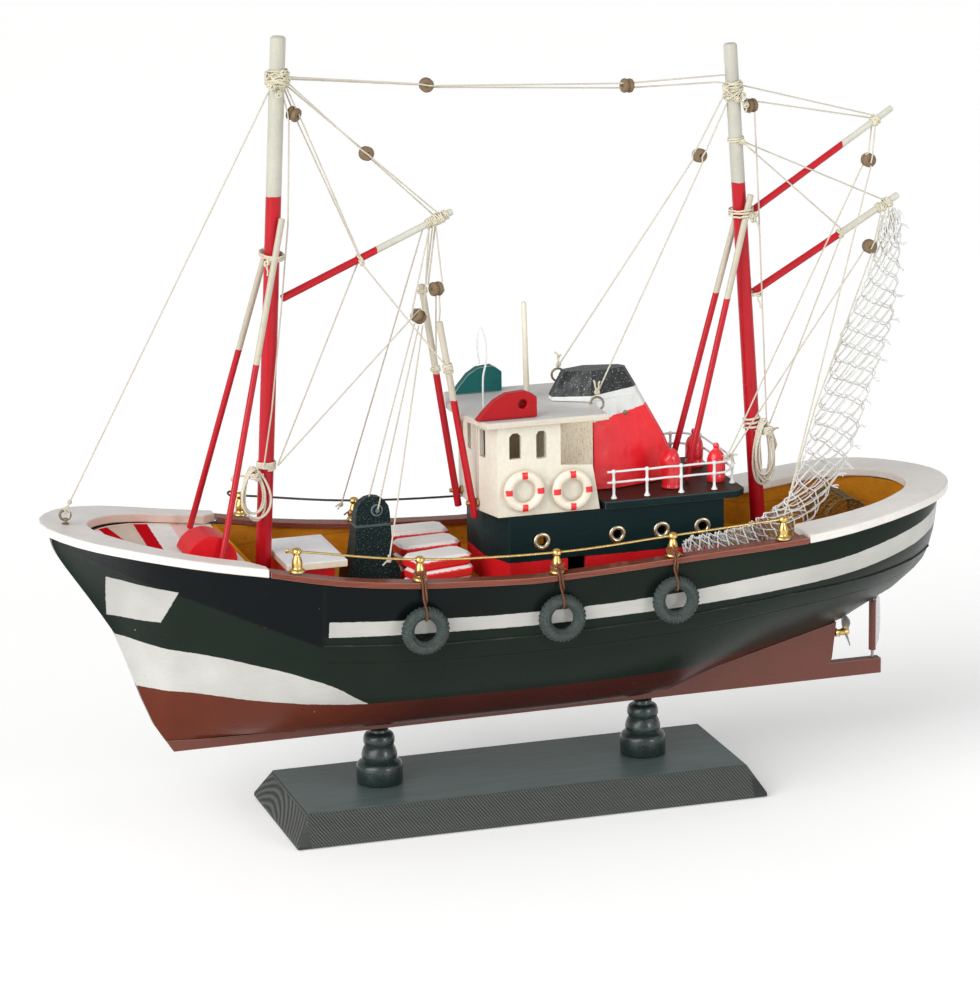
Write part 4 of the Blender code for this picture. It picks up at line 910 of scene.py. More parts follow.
def cordage(name, lines, radius, finish, sides=8, body="trawler", instead=()):
    """A round cord along each line, mapped in millimetres along and turns around."""
    verts, faces, chart = [], [], []
    for line in lines:
        line = np.asarray(line, float)
        gaps = np.linalg.norm(np.diff(line, axis=0), axis=1)
        line = line[np.concatenate([[True], gaps > 1e-4])]
        gaps = gaps[gaps > 1e-4]
        far = np.concatenate([[0.0], np.cumsum(gaps)])
        way = np.zeros_like(line)
        steps = np.diff(line, axis=0) / gaps[:, None]
        way[:-1] += steps
        way[1:] += steps
        way /= np.linalg.norm(way, axis=1)[:, None] + 1e-12
        side = np.cross(way[0], (0.31, 0.87, 0.38))
        first = len(verts)
        for place, ahead in zip(line, way):
            side = side - ahead * side.dot(ahead)
            side /= np.linalg.norm(side)
            up = np.cross(ahead, side)
            for n in range(sides):
                turn = 2 * math.pi * n / sides
                verts.append(tuple((place + radius * (math.cos(turn) * side + math.sin(turn) * up)) * MM))
        for k in range(len(line) - 1):
            a = first + k * sides
            for n in range(sides):
                m = (n + 1) % sides
                faces.append((a + n, a + m, a + sides + m, a + sides + n))
                chart += [(far[k], n / sides), (far[k], (n + 1) / sides), (far[k + 1], (n + 1) / sides),
                          (far[k + 1], n / sides)]
        last = first + (len(line) - 1) * sides
        faces.append(tuple(first + n for n in reversed(range(sides))))
        faces.append(tuple(last + n for n in range(sides)))
        chart += [(far[0], n / sides) for n in reversed(range(sides))]
        chart += [(far[-1], n / sides) for n in range(sides)]
    mesh = bpy.data.meshes.new(name)
    mesh.from_pydata(verts, [], faces)
    layer = mesh.uv_layers.new(name="lay")
    layer.data.foreach_set("uv", np.asarray(chart, "f").ravel())
    obj = bpy.data.objects.new(name, mesh)
    bpy.context.scene.collection.objects.link(obj)
    dress(obj, finish, smooth=70)
    return name_up(obj, name, body, instead)


rng = random.Random(7)
set_camera()
set_light()
lay_floor(floor_paint())

white_paint = plain_paint("white_enamel", (0.69, 0.665, 0.63), 0.34, 0.08, depth=0.45,
                          wear=(0.60, 0.55, 0.47))
cream_paint = plain_paint("cream_enamel", (0.66, 0.62, 0.50), 0.36, 0.2)
brown_paint = plain_paint("keel_enamel", BROWN, 0.38, 0.05, streak=(0.08, 1, 1), wear=(0.30, 0.16, 0.10))
ochre = deck_paint()
brass = metal("turned_brass", (0.80, 0.56, 0.20), 0.20)
grey_metal = metal("grey_metal", (0.42, 0.42, 0.43), 0.38, (0.16, 0.15, 0.14))

# Plinth and pillars
coat("plinth", stand_stain(), edge=0.45)
pillar = pillar_stain()
PILLAR = ((9.8, 0.0), (10.1, 0.3), (10.1, 7.4), (9.9, 8.2), (9.4, 9.1), (8.6, 9.8), (7.6, 10.2),
          (7.35, 10.45), (7.6, 11.0), (7.8, 11.9), (7.8, 12.7), (7.6, 13.8), (7.2, 15.1), (6.7, 16.2),
          (6.25, 16.8), (6.45, 17.3), (6.8, 18.1), (6.9, 19.2), (6.8, 20.3), (6.5, 21.3), (6.0, 22.1),
          (5.2, 22.5), (4.15, 22.7))
for node, x in (("pillar_fore", 59.1), ("pillar_aft", -62.0)):
    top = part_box(node)[1][2] / MM
    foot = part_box(node)[0][2] / MM
    piece = turned(PILLAR + ((4.15, top - foot - 0.25), (3.9, top - foot)), (x, 0, foot), sides=48)
    dress(piece, pillar, smooth=50)
    name_up(piece, "turned_" + node, instead=(node,))

# Hull, keel, decks and rails
WELL = ((-187, 3), (-183, 9.5), (-180, 15), (-175, 22.8), (-168, 29.5), (-160, 33.5), (-150, 35.4),
        (-140, 35.8), (-126, 36.2), (-108, 49.3), (0, 50.4), (60, 50.0), (100, 47.5), (121, 42.5),
        (130, 39.8), (140, 37.6), (150, 34.6), (160, 29.6), (170, 21.4), (175, 16.0), (180, 9.0),
        (182, 3.0))


def hull_zone(place, normal):
    """Outside of the hull 0, ochre bulwark 1, pale bulwark round the foredeck 2."""
    edge = float(np.interp(place.x, [p[0] for p in WELL], [p[1] for p in WELL]))
    wall = normal.y * place.y < -0.001 and abs(place.y) < edge + 2.5
    ledge = (normal.z > 0.8 or abs(normal.x) > 0.9) and abs(place.y) < edge + 0.35
    if not (wall or ledge) or place.z < 100.5 or not -187.3 < place.x < 186.0:
        return 0
    return 1 if place.x < 121.0 else 2


# Painted light: the bulwark round the foredeck is painted lighter than its own pale beige, to make up for the
# shade it stands in.
lit_pale_bulwark = plain_paint("lit_pale_bulwark", (0.93, 0.68, 0.54), 0.36, 0.1, depth=1.0)
coat("hull", hull_paint(), ochre, lit_pale_bulwark, flat=0.0, smooth=32, where=hull_zone)
coat("keel", brown_paint, edge=0.3)
coat("main_deck", ochre)
coat("foredeck", foredeck_paint(), edge=0.2)
pale_edge = plain_paint("pale_edge", (0.68, 0.52, 0.45), 0.34, 0.1, depth=0.8)
# Painted light: the bow rail gets a lighter copy of the white enamel on the stern rail.
bow_white_lit = plain_paint("bow_enamel_lit", (0.73, 0.70, 0.67), 0.34, 0.08, depth=0.45, wear=(0.64, 0.58, 0.50))
coat("cap_rail_bow", bow_white_lit, pale_edge, edge=0.55, smooth=40, where=lambda place, normal: int(
    abs(normal.z) < 0.6 and normal.x * (place.x - 125.0) + normal.y * place.y < 0))
coat("cap_rail_stern", white_paint, edge=0.55, smooth=40)
waist_finish = rail_brown()
for node in ("cap_rail_port", "cap_rail_starboard"):
    coat(node, waist_finish, edge=0.4, smooth=40)

# Spars
coat("foremast", two_tone("foremast_paint", "z", 274.9, (0.46, 0.45, 0.375), RED), smooth=40, edge=0.25)
coat("aft_mast", two_tone("aft_mast_paint", "z", 267.0, (0.44, 0.435, 0.37), RED), smooth=40, edge=0.25)
fore_leg_paint = two_tone("fore_leg_paint", "z", 207.2, (0.47, 0.435, 0.345), RED)
aft_leg_paint = two_tone("aft_leg_paint", "z", 217.5, (0.47, 0.435, 0.345), RED)
for word in ("port", "starboard"):
    coat("fore_leg_" + word, fore_leg_paint, smooth=40)
    coat("aft_leg_" + word, aft_leg_paint, smooth=40)
coat("fore_boom", two_tone("fore_boom_paint", "x", 55.5, RED, (0.50, 0.49, 0.42)), smooth=40)
coat("aft_boom_upper", two_tone("upper_boom_paint", "x", -154.8, RED, (0.50, 0.49, 0.42)), smooth=40)
coat("aft_boom_lower", two_tone("lower_boom_paint", "x", -154.1, RED, (0.50, 0.49, 0.42)), smooth=40)
derrick_brass = metal("pivot_brass", (0.62, 0.46, 0.20), 0.3)
PORT_DERRICK = ((18.0, 13.5, 132.0), (32.4, 13.5, 218.8))
STARBOARD_DERRICK = ((18.4, -10.0, 131.4), (33.2, -10.0, 230.4))


def off_spar(spar):
    """Picks the pivot's faces: those farther from the spar's middle line than its own radius."""
    foot, head = (Vector(end) for end in spar)
    way = (head - foot).normalized()
    return lambda place, normal: int((Vector(place) - foot).cross(way).length > 1.75)


for word, edge_z, spar in (("port", 184.3, PORT_DERRICK), ("starboard", 191.0, STARBOARD_DERRICK)):
    derrick_paint = two_tone("derrick_%s_paint" % word, "z", edge_z, (0.50, 0.46, 0.37), RED)
    coat("derrick_" + word, derrick_paint, derrick_brass, smooth=40, where=off_spar(spar))

# Houses
coat("lower_house", house_paint(), dark_inside(), edge=0.3,
     where=lambda place, normal: int(abs(place.y) < 27.5 and -86.9 < place.x < 5.4))
coat("upper_deck", slab_paint(), edge=0.5)
# Painted shade: the wheelhouse inside is painted a darker olive than the cream outside, for the shade seen
# through the windows.
inside_shade_olive = bare_wood("cabin_inside_shade", (0.45, 0.40, 0.30), (1, 1, 0.1), 0.7)


def cabin_zone(place, normal):
    """Cream outside 0, raw trunk side 1, dark inside 2."""
    if place.x < -13.9 and abs(place.y) < 11.6:
        return 1
    if place.x < -12.0:
        return 0
    inner = abs(place.y) < 27.6 and place.x < 16.2
    seen = place.z > 136.5 and normal.z > -0.5
    return 2 if inner and seen and faces_inward(place, normal) else 0


def faces_inward(place, normal):
    return normal.x * (place.x - 0.0) + normal.y * place.y < 0 or normal.z > 0.5


coat("wheelhouse", cabin_paint(), raw_panel_lit(), inside_shade_olive, edge=0.25, where=cabin_zone)
coat("wheelhouse_roof", roof_paint(), edge=0.35)
coat("funnel", funnel_paint(), edge=0.5, smooth=45)
board_red = plain_paint("board_red", (0.35, 0.005, 0.008), 0.34, 0.0, depth=1.2, specular=0.2)
coat("light_board_port", board_red, edge=0.5)
board_green = plain_paint("board_green", (0.003, 0.100, 0.096), 0.38, 0.0, wear=(0.5, 0.56, 0.5),
                          specular=0.25)
coat("light_board_starboard", board_green, edge=0.5)
coat("roof_pole", cream_paint, smooth=50)

# Deck fittings
coat("deck_hatch", hatch_paint(), edge=0.4)
coat("winch", winch_paint(), edge=0.6, smooth=45)
companion_red = plain_paint("companion_red", (0.58, 0.007, 0.013), 0.36, 0.0, depth=0.45, specular=0.2)
coat("companion", companion_red, edge=0.6, smooth=40)
boxes = box_paint()
for word in ("port", "middle", "starboard"):
    coat("fish_boxes_" + word, boxes, edge=0.25)

# Stern gear
coat("propeller", metal("blade_grey", (0.50, 0.50, 0.50), 0.36, (0.25, 0.24, 0.22)), brass, smooth=40,
     where=lambda place, normal: int(math.hypot(place.y, place.z - 59.7) < 1.95))
coat("stern_tube", brass, smooth=40)

# Cord finishes
line_cord = laid("line_cord", (0.70, 0.66, 0.55), 1.9, groove=0.10, groove_shade_depth=0.35)
lash_cord = laid("lash_cord", (0.82, 0.77, 0.60), 2.2, groove=0.12, groove_shade_depth=0.40)
coil_cord = laid("coil_cord", (0.86, 0.80, 0.66), 2.4, groove=0.14, groove_shade_depth=0.35)
net_twine = laid("net_twine", (0.88, 0.88, 0.86), 1.4, strands=2, groove=0.10, groove_shade_depth=0.40)
tyre_cord = laid("tyre_cord", (0.20, 0.075, 0.040), 2.4, strands=2, groove=0.25, groove_shade_depth=0.70,
                 dirt=(0.42, 0.26, 0.12))
frayed_cord = laid("frayed_cord", (0.30, 0.10, 0.05), 1.4, dirt=(0.42, 0.24, 0.09))
block_wood = bare_wood("block_wood", (0.185, 0.120, 0.062), (1, 1, 0.5), 0.6)
dull_wire = metal("dull_wire", (0.30, 0.25, 0.17), 0.42, (0.12, 0.10, 0.07))
dark_wire = metal("dark_wire", (0.12, 0.11, 0.10), 0.45, (0.05, 0.045, 0.04))
rail_brass = metal("rail_brass", (0.72, 0.52, 0.20), 0.26, (0.28, 0.18, 0.06))
wire_white = plain_paint("wire_white", (0.66, 0.68, 0.66), 0.30, 0.3, wear=(0.35, 0.38, 0.38))

# Turned bollards along the waist rails, with a wire through their heads
WAIST_X = (117.7, 102, 89, 75, 59, 46, 30, 5, -20, -42, -69, -98, -119.3)
WAIST_EDGE = (51.4, 52.9, 54.0, 54.8, 55.3, 55.5, 55.7, 55.8, 55.8, 55.7, 55.5, 55.1, 54.5)
SHEER_X = (-120, -98, -69, -42, -27, -7, 5, 20, 46, 59, 75, 89, 102, 117, 130)
SHEER_Z = (117.5, 116.3, 115.1, 113.7, 113.0, 112.2, 112.0, 112.6, 113.9, 114.9, 116.6, 118.5, 120.9, 124.1,
           126.2)
BOLLARD_X = (106.0, 53.9, -6.0, -57.9, -108.4)
BOLLARD = ((3.0, 0), (3.35, 0.15), (3.4, 0.5), (3.2, 0.95), (2.5, 1.35), (2.15, 1.8), (2.2, 2.6),
           (2.25, 3.6), (2.05, 5.0), (1.65, 6.2), (1.35, 6.9), (1.25, 7.25), (1.55, 7.5), (1.9, 7.9),
           (2.1, 8.4), (2.1, 8.9), (1.95, 9.4), (1.55, 9.9), (1.0, 10.25), (0.4, 10.4))


def waist_edge(x):
    """Outer edge of the waist rail at a station."""
    return float(np.interp(-x, [-v for v in WAIST_X], WAIST_EDGE))


def rail_top(x):
    return max(float(np.interp(v, SHEER_X, SHEER_Z)) for v in (x - 3.2, x + 3.2)) + 3.2


for word, side in (("port", 1), ("starboard", -1)):
    heads = []
    for x in BOLLARD_X:
        foot = (x, side * (waist_edge(x) - RAIL_INSET), rail_top(x))
        heads.append(turned(BOLLARD, foot, sides=24))
        dress(heads[-1], brass, smooth=50)
    name_up(joined(heads), "bollards_" + word, instead=("side_rail_" + word,))
    route = [(x, side * (waist_edge(x) - RAIL_INSET), rail_top(x) + 8.8) for x in BOLLARD_X]
    fore, aft = np.array(route[0]), np.array(route[-1])
    curl = [fore + (4.4, side * 0.9, 0.3), fore + (5.0, side * 1.8, 1.1), fore + (4.0, side * 2.3, 1.6),
            fore + (2.9, side * 1.9, 1.1)]
    line = bent([tuple(c) for c in curl[::-1]] + [tuple(fore + (2.4, 0, 0.1))] + [tuple(fore)], 5)
    line += bent(route, 8)[1:] + bent([tuple(aft), tuple(aft + (-2.5, 0, 0.2)),
                                       tuple(aft + (-4.0, side * 0.6, 1.2)),
                                       tuple(aft + (-3.4, side * 1.3, 2.2))], 4)[1:]
    cordage("rail_wire_" + word, [line], 0.5, rail_brass if side == 1 else dark_wire, 10)

# Tyres hung outside, each on a brown cord from its bollard
rubber = tyre_rubber()
TYRE_WALL, TYRE_SECTION = 7.5, 2.68  # from the middle to the wall's own middle, and the wall's radius
for word, side in (("port", 1), ("starboard", -1)):
    for k, hang in ((1, 53.9), (2, -6.0), (3, -57.9)):
        node = "tyre_%s_%d" % (word, k)
        low, high = (np.array(c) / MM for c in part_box(node))
        middle = (low + high) / 2
        bpy.ops.object.select_all(action="DESELECT")
        bpy.ops.mesh.primitive_torus_add(major_segments=96, minor_segments=20, major_radius=TYRE_WALL * MM,
                                         minor_radius=TYRE_SECTION * MM)
        tyre = bpy.context.object
        bpy.ops.object.mode_set(mode="EDIT")
        bm = bmesh.from_edit_mesh(tyre.data)
        for face in bm.faces:
            reach = math.hypot(*face.calc_center_median().xy) / MM
            turn = math.atan2(face.calc_center_median().y, face.calc_center_median().x) / (2 * math.pi) * 96
            face.select_set(reach > 9.1 and int(turn % 96) % 3 == 0)
        bmesh.update_edit_mesh(tyre.data)
        bpy.ops.mesh.extrude_region_shrink_fatten(TRANSFORM_OT_shrink_fatten={"value": 0.30 * MM})
        bm = bmesh.from_edit_mesh(tyre.data)
        for face in bm.faces:
            face.select_set(False)
        for vertex in bm.verts:
            vertex.select_set(math.hypot(*vertex.co.xy) < 6.1 * MM)
        bm.select_flush_mode()
        bmesh.update_edit_mesh(tyre.data)
        bpy.ops.mesh.select_mode(type="VERT")
        bpy.ops.transform.resize(value=(1, 1, 0.72), center_override=(0, 0, 0))
        bpy.ops.mesh.select_all(action="SELECT")
        bpy.ops.transform.resize(value=(1, 1, 1.02), center_override=(0, 0, 0))
        leave_edit()
        set_upright(tyre, tuple(middle), (0, side, 0))
        dress(tyre, rubber, smooth=40)
        name_up(tyre, "moulded_" + node, instead=(node,))
        foot = np.array((hang, side * (waist_edge(hang) - RAIL_INSET), rail_top(hang)))
        edge = side * (waist_edge(hang) + 0.9)
        face_y = middle[1] + side * 3.2
        back_y = middle[1] - side * 3.0
        x, z = float(middle[0]) - 0.4, float(middle[2])
        waist = foot + np.array((0, 0, 3.4))
        loop = [(waist[0] + 0.4, waist[1] + side * 1.9, waist[2]),
                (foot[0] + 0.3, foot[1] + side * 3.4, foot[2] + 1.0), (foot[0] + 0.2, edge, foot[2] - 0.7),
                (x + 0.7, edge, z + 13.4), (x + 0.5, face_y - side * 1.0, z + 10.0),
                (x + 0.4, face_y, z + 7.6), (x + 0.3, face_y - side * 1.0, z + 5.2),
                (x + 0.2, middle[1], z + 4.5), (x - 0.2, back_y + side * 0.9, z + 5.4),
                (x - 0.5, back_y, z + 8.0), (x - 0.6, back_y + side * 0.8, z + 10.6),
                (x - 0.6, edge - side * 0.2, z + 13.4), (foot[0] - 0.9, edge, foot[2] - 0.7),
                (foot[0] - 0.8, foot[1] + side * 3.4, foot[2] + 0.9),
                (waist[0] - 0.7, waist[1] + side * 1.8, waist[2] - 0.5)]
        cordage("tyre_cord_%s_%d" % (word, k), [bent(loop, 6)], 0.44, tyre_cord, 8)
        lines = [wraps(waist - (0, 0, 0.9), (0.30, 0, 1), 2.35, 2.2, 0.55, wobble=0.25),
                 wraps(waist - (0, 0, 0.2), (-0.35, side * 0.2, 1), 2.3, 1.6, 0.6, wobble=0.3),
                 wraps(waist - (0, 0, 1.6), (0.05, side * 0.2, 1), 2.5, 1.2, 0.4, wobble=0.3)]
        for n in range(6):
            lines.append(tail(waist + np.array((rng.uniform(-2.2, 2.2), side * 2.2, rng.uniform(-1.6, 0.8))),
                              (rng.uniform(-1, 1), side * 0.5, rng.uniform(-0.6, 0.8)),
                              rng.uniform(1.6, 3.2), 0.2))
        cordage("tyre_lashing_%s_%d" % (word, k), lines, 0.38, frayed_cord, 6)

# Life rings
life_paint = life_ring_paint()
LIFE_RING = (7.0, 2.1)
for word, side in (("port", 1), ("starboard", -1)):
    for place in ("fore", "aft"):
        node = "life_ring_%s_%s" % (word, place)
        low, high = (np.array(c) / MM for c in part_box(node))
        piece = ring(tuple((low + high) / 2), (0, side, 0), *LIFE_RING, 64, 20, 0.86)
        dress(piece, life_paint, smooth=60)
        name_up(piece, "round_" + node, instead=(node,))

# Portholes
HOUSE_HALF = 30.05
eyelet = metal("eyelet_metal", (0.62, 0.57, 0.42), 0.24, (0.16, 0.07, 0.03), 0.5)
for word, side in (("port", 1), ("starboard", -1)):
    rims = []
    for x in (-6.8, -40.7, -60.9, -79.5):
        rims.append(ring((x, side * HOUSE_HALF, 123.3), (0, side, 0), 2.92, 0.92, 48, 14, 0.62))
        inner = turned(((2.35, -2.2), (2.35, -0.1), (2.2, 0.15), (1.95, 0.0), (1.95, -2.2)),
                       (x, side * HOUSE_HALF, 123.3), (0, side, 0), 40)
        edit(inner)
        bm = bmesh.from_edit_mesh(inner.data)
        for face in bm.faces:
            face.select_set(len(face.verts) > 4)
        bmesh.update_edit_mesh(inner.data)
        bpy.ops.mesh.delete(type="FACE")
        leave_edit()
        rims.append(inner)
    rims = joined(rims)
    dress(rims, eyelet, smooth=50)
    name_up(rims, "porthole_rims_" + word)

# Handrail: bars soldered to posts, with a bead of solder at every foot
bars = []
for rise in (11.9, 7.2):
    z = UPPER_DECK + rise
    corner = [(-86.0, 28.4), (-90.0, 28.1), (-92.6, 26.2), (-94.8, 23.4), (-96.3, 20.4), (-96.6, 16.0)]
    plan = [(-36.9, 28.4)] + straight((-37.2, 28.4), (-84.0, 28.4)) + corner + straight((-96.6, 14.0),
                                                                                        (-96.6, -14.0))
    plan += [(x, -y) for x, y in corner[::-1]] + straight((-84.0, -28.4), (-37.2, -28.4)) + [(-36.9, -28.4)]
    bars.append([(x, y, z + 0.12 * math.sin(x * 0.4 + y * 0.3)) for x, y in plan])
cordage("handrail_bars", bars, 0.50, wire_white, 10)
POST = ((0.9, 0), (1.35, 0.1), (1.3, 0.45), (1.0, 0.9), (0.72, 1.5), (0.62, 2.2), (0.6, 6.2), (0.9, 6.7),
        (0.95, 7.2), (0.9, 7.8), (0.6, 8.3), (0.6, 10.9), (0.9, 11.4), (0.95, 12.0), (0.8, 12.6),
        (0.4, 12.85))
posts = []
for x in (-39.8, -54.8, -70.4, -85.5, -96.6):
    for side in (1, -1):
        y = side * (28.4 if x > -90 else 20.5)
        way = (rng.uniform(-0.01, 0.01), rng.uniform(-0.01, 0.01), 1)
        posts.append(turned(POST, (x, y, UPPER_DECK), way, 14))
        dress(posts[-1], wire_white, smooth=50)
posts = joined(posts)
name_up(posts, "handrail_posts", instead=("handrail",))

# Gas bottles and vents on the upper deck
BOTTLE = ((3.5, 0), (3.95, 0.1), (4.05, 0.5), (4.08, 2.6), (3.95, 3.0), (3.8, 3.3), (3.85, 3.7), (4.0, 4.2),
          (4.05, 5.2), (4.05, 8.6), (3.95, 9.8), (3.6, 11.2), (3.0, 12.4), (2.2, 13.3), (1.55, 13.8),
          (1.2, 14.3), (1.12, 14.9), (1.35, 15.2), (1.4, 15.8), (1.15, 16.3), (0.95, 16.7), (0.4, 16.8))
COWL = ((1.6, 1.0), (1.5, 0.99), (1.4, 0.98), (1.1, 0.95), (0.9, 0.86), (0.6, 0.7), (0.3, 0.4))
bottle_paint = plain_paint("bottle_red", (0.70, 0.015, 0.025), 0.26, 0.4, streak=(1, 1, 0.15), depth=1.6,
                           wear=(0.30, 0.02, 0.02))
for word, side in (("port", 1), ("starboard", -1)):
    piece = turned(BOTTLE, (-91.6, side * 14.0, UPPER_DECK), sides=40)
    dress(piece, bottle_paint, smooth=45)
    name_up(piece, "turned_gas_bottle_" + word, instead=("gas_bottle_" + word,))
    vent = turned(((4.2, 0), (4.6, 0.15), (4.65, 0.6), (4.45, 1.1), (4.4, 2.0), (4.4, 8.6)), (0, 0, 0),
                  sides=36)
    edit(vent)
    bpy.ops.mesh.select_all(action="DESELECT")
    bpy.ops.mesh.select_mode(type="VERT")
    bm = bmesh.from_edit_mesh(vent.data)
    for vertex in bm.verts:
        vertex.select_set(vertex.co.z > 8.5 * MM)
    bm.select_flush_mode()
    bmesh.update_edit_mesh(vent.data)
    for rise, wide in COWL:
        bpy.ops.mesh.extrude_region_move(TRANSFORM_OT_translate={"value": (0.28 * rise * MM, 0, rise * MM)})
        bm = bmesh.from_edit_mesh(vent.data)
        chosen = [v.co.copy() for v in bm.verts if v.select]
        pivot = sum(chosen, Vector()) / len(chosen)
        bpy.ops.transform.resize(value=(wide, wide, wide), center_override=pivot)
        bpy.ops.transform.rotate(value=math.radians(-6), orient_axis="Y", center_override=pivot)
    leave_edit()
    set_upright(vent, (-70.0, side * 17.6, UPPER_DECK))
    dress(vent, bottle_paint, smooth=50)
    name_up(vent, "cowl_vent_" + word, instead=("vent_" + word,))

# Rudder, with its pin in the skeg
blade_face = max(frame["nodes"]["rudder"].data.polygons, key=lambda face: face.area).normal.copy()
# Painted reflection: the blade's broad faces are painted a pale lavender grey for the bright light they
# reflect at a low angle; the rest stays brown.
blade_reflection_paint = plain_paint("blade_reflection_paint", (0.40, 0.385, 0.39), 0.26, 0.3)
coat("rudder", brown_paint, blade_reflection_paint, grey_metal, edge=0.25, smooth=40,
     where=lambda place, normal: 2 if place.z < 49.9 else int(abs(normal.dot(blade_face)) > 0.9))

# Wooden blocks on the running lines
BLOCK = ((0.7, 0.9), (0.9, 0.05), (2.9, 0.0), (3.4, 0.35), (3.6, 1.0), (3.6, 1.6), (3.3, 2.0), (2.75, 2.3),
         (2.7, 2.75), (3.3, 3.1), (3.6, 3.5), (3.6, 4.3), (3.4, 4.85), (2.9, 5.2), (0.9, 5.15), (0.7, 4.3))
BLOCKS = (((32.2, 0, 317.4), (0.1, 1, 0)), ((-56.6, 0, 311.8), (1, 0.2, 0.1)),
          ((58.9, 0, 290.1), (0, 1, 0.1)), ((89.8, 0, 308.7), (-0.6, 0.7, -0.3)),
          ((37.6, 0, 218.8), (0.75, 0.5, 0.55)), ((29.6, 0, 230.1), (1, 0.35, 0)),
          ((-89.3, 0, 279.6), (0, 1, 0.1)), ((-112.7, 0, 299.8), (1, 0.3, 0)),
          ((-167.4, 0, 272.5), (0, 1, 0)), ((-168.1, 0.5, 234.3), (0, 1, 0)))
blocks = []
for place, way in BLOCKS:
    unit = np.array(way, float) / np.linalg.norm(way)
    profile = [(r * 0.85, h * 0.88) for r, h in BLOCK]
    blocks.append(turned(profile, tuple(np.array(place) - unit * 2.3), way, 28))
    dress(blocks[-1], block_wood, smooth=40)
name_up(joined(blocks), "line_blocks")

# Eye and forestay at the bow
EYE = (193.0, 0.0, 145.9)
eye = ring(EYE, (0.25, 1, 0), 2.2, 0.55, 40, 10)
dress(eye, dull_wire, smooth=60)
stem = turned(((1.5, 0), (1.5, 0.5), (0.8, 0.8), (0.6, 1.3), (0.6, 2.7)), (193.0, 0, 141.9), sides=14)
dress(stem, dull_wire, smooth=50)
name_up(joined([eye, stem]), "bow_eye")
stay = [taut((99.3, 0.4, 320.6), (192.7, 0, 147.7))]
stay += knot((192.4, 0.0, 148.4), (-0.47, 0, 0.88), 1.3)
stay += knot((190.9, 0.0, 151.2), (-0.47, 0, 0.88), 1.1)
stay += [wraps((192.9, 0.2, 147.6), (1, 0.3, 0), 0.95, 1.6, 0.5, fine=10),
         tail((191.2, 0.4, 150.6), (0.3, 0.6, -0.9), 4.5)]
cordage("forestay_line", stay, 0.35, line_cord, instead=("forestay",))

# Lines between the mastheads
top_lines = [taut((93.4, 0.5, 324.6), (35.6, 2.8, 318.4), (32.2, 3.3, 317.6), (29.2, 2.9, 317.3),
                  (-53.0, 1.1, 313.1), (-60.0, 0.9, 313.0), (-100.6, 0.8, 313.9)),
                  taut((93.4, -0.3, 323.6), (35.0, -1.4, 317.5), (28.5, -1.6, 316.0), (-53.0, -0.9, 310.9),
                       (-60.0, -0.7, 310.7), (-97.0, 0.4, 310.9), (-100.8, 2.6, 310.6))]
cordage("masthead_lines", top_lines, 0.36, line_cord, instead=("masthead_stay",))

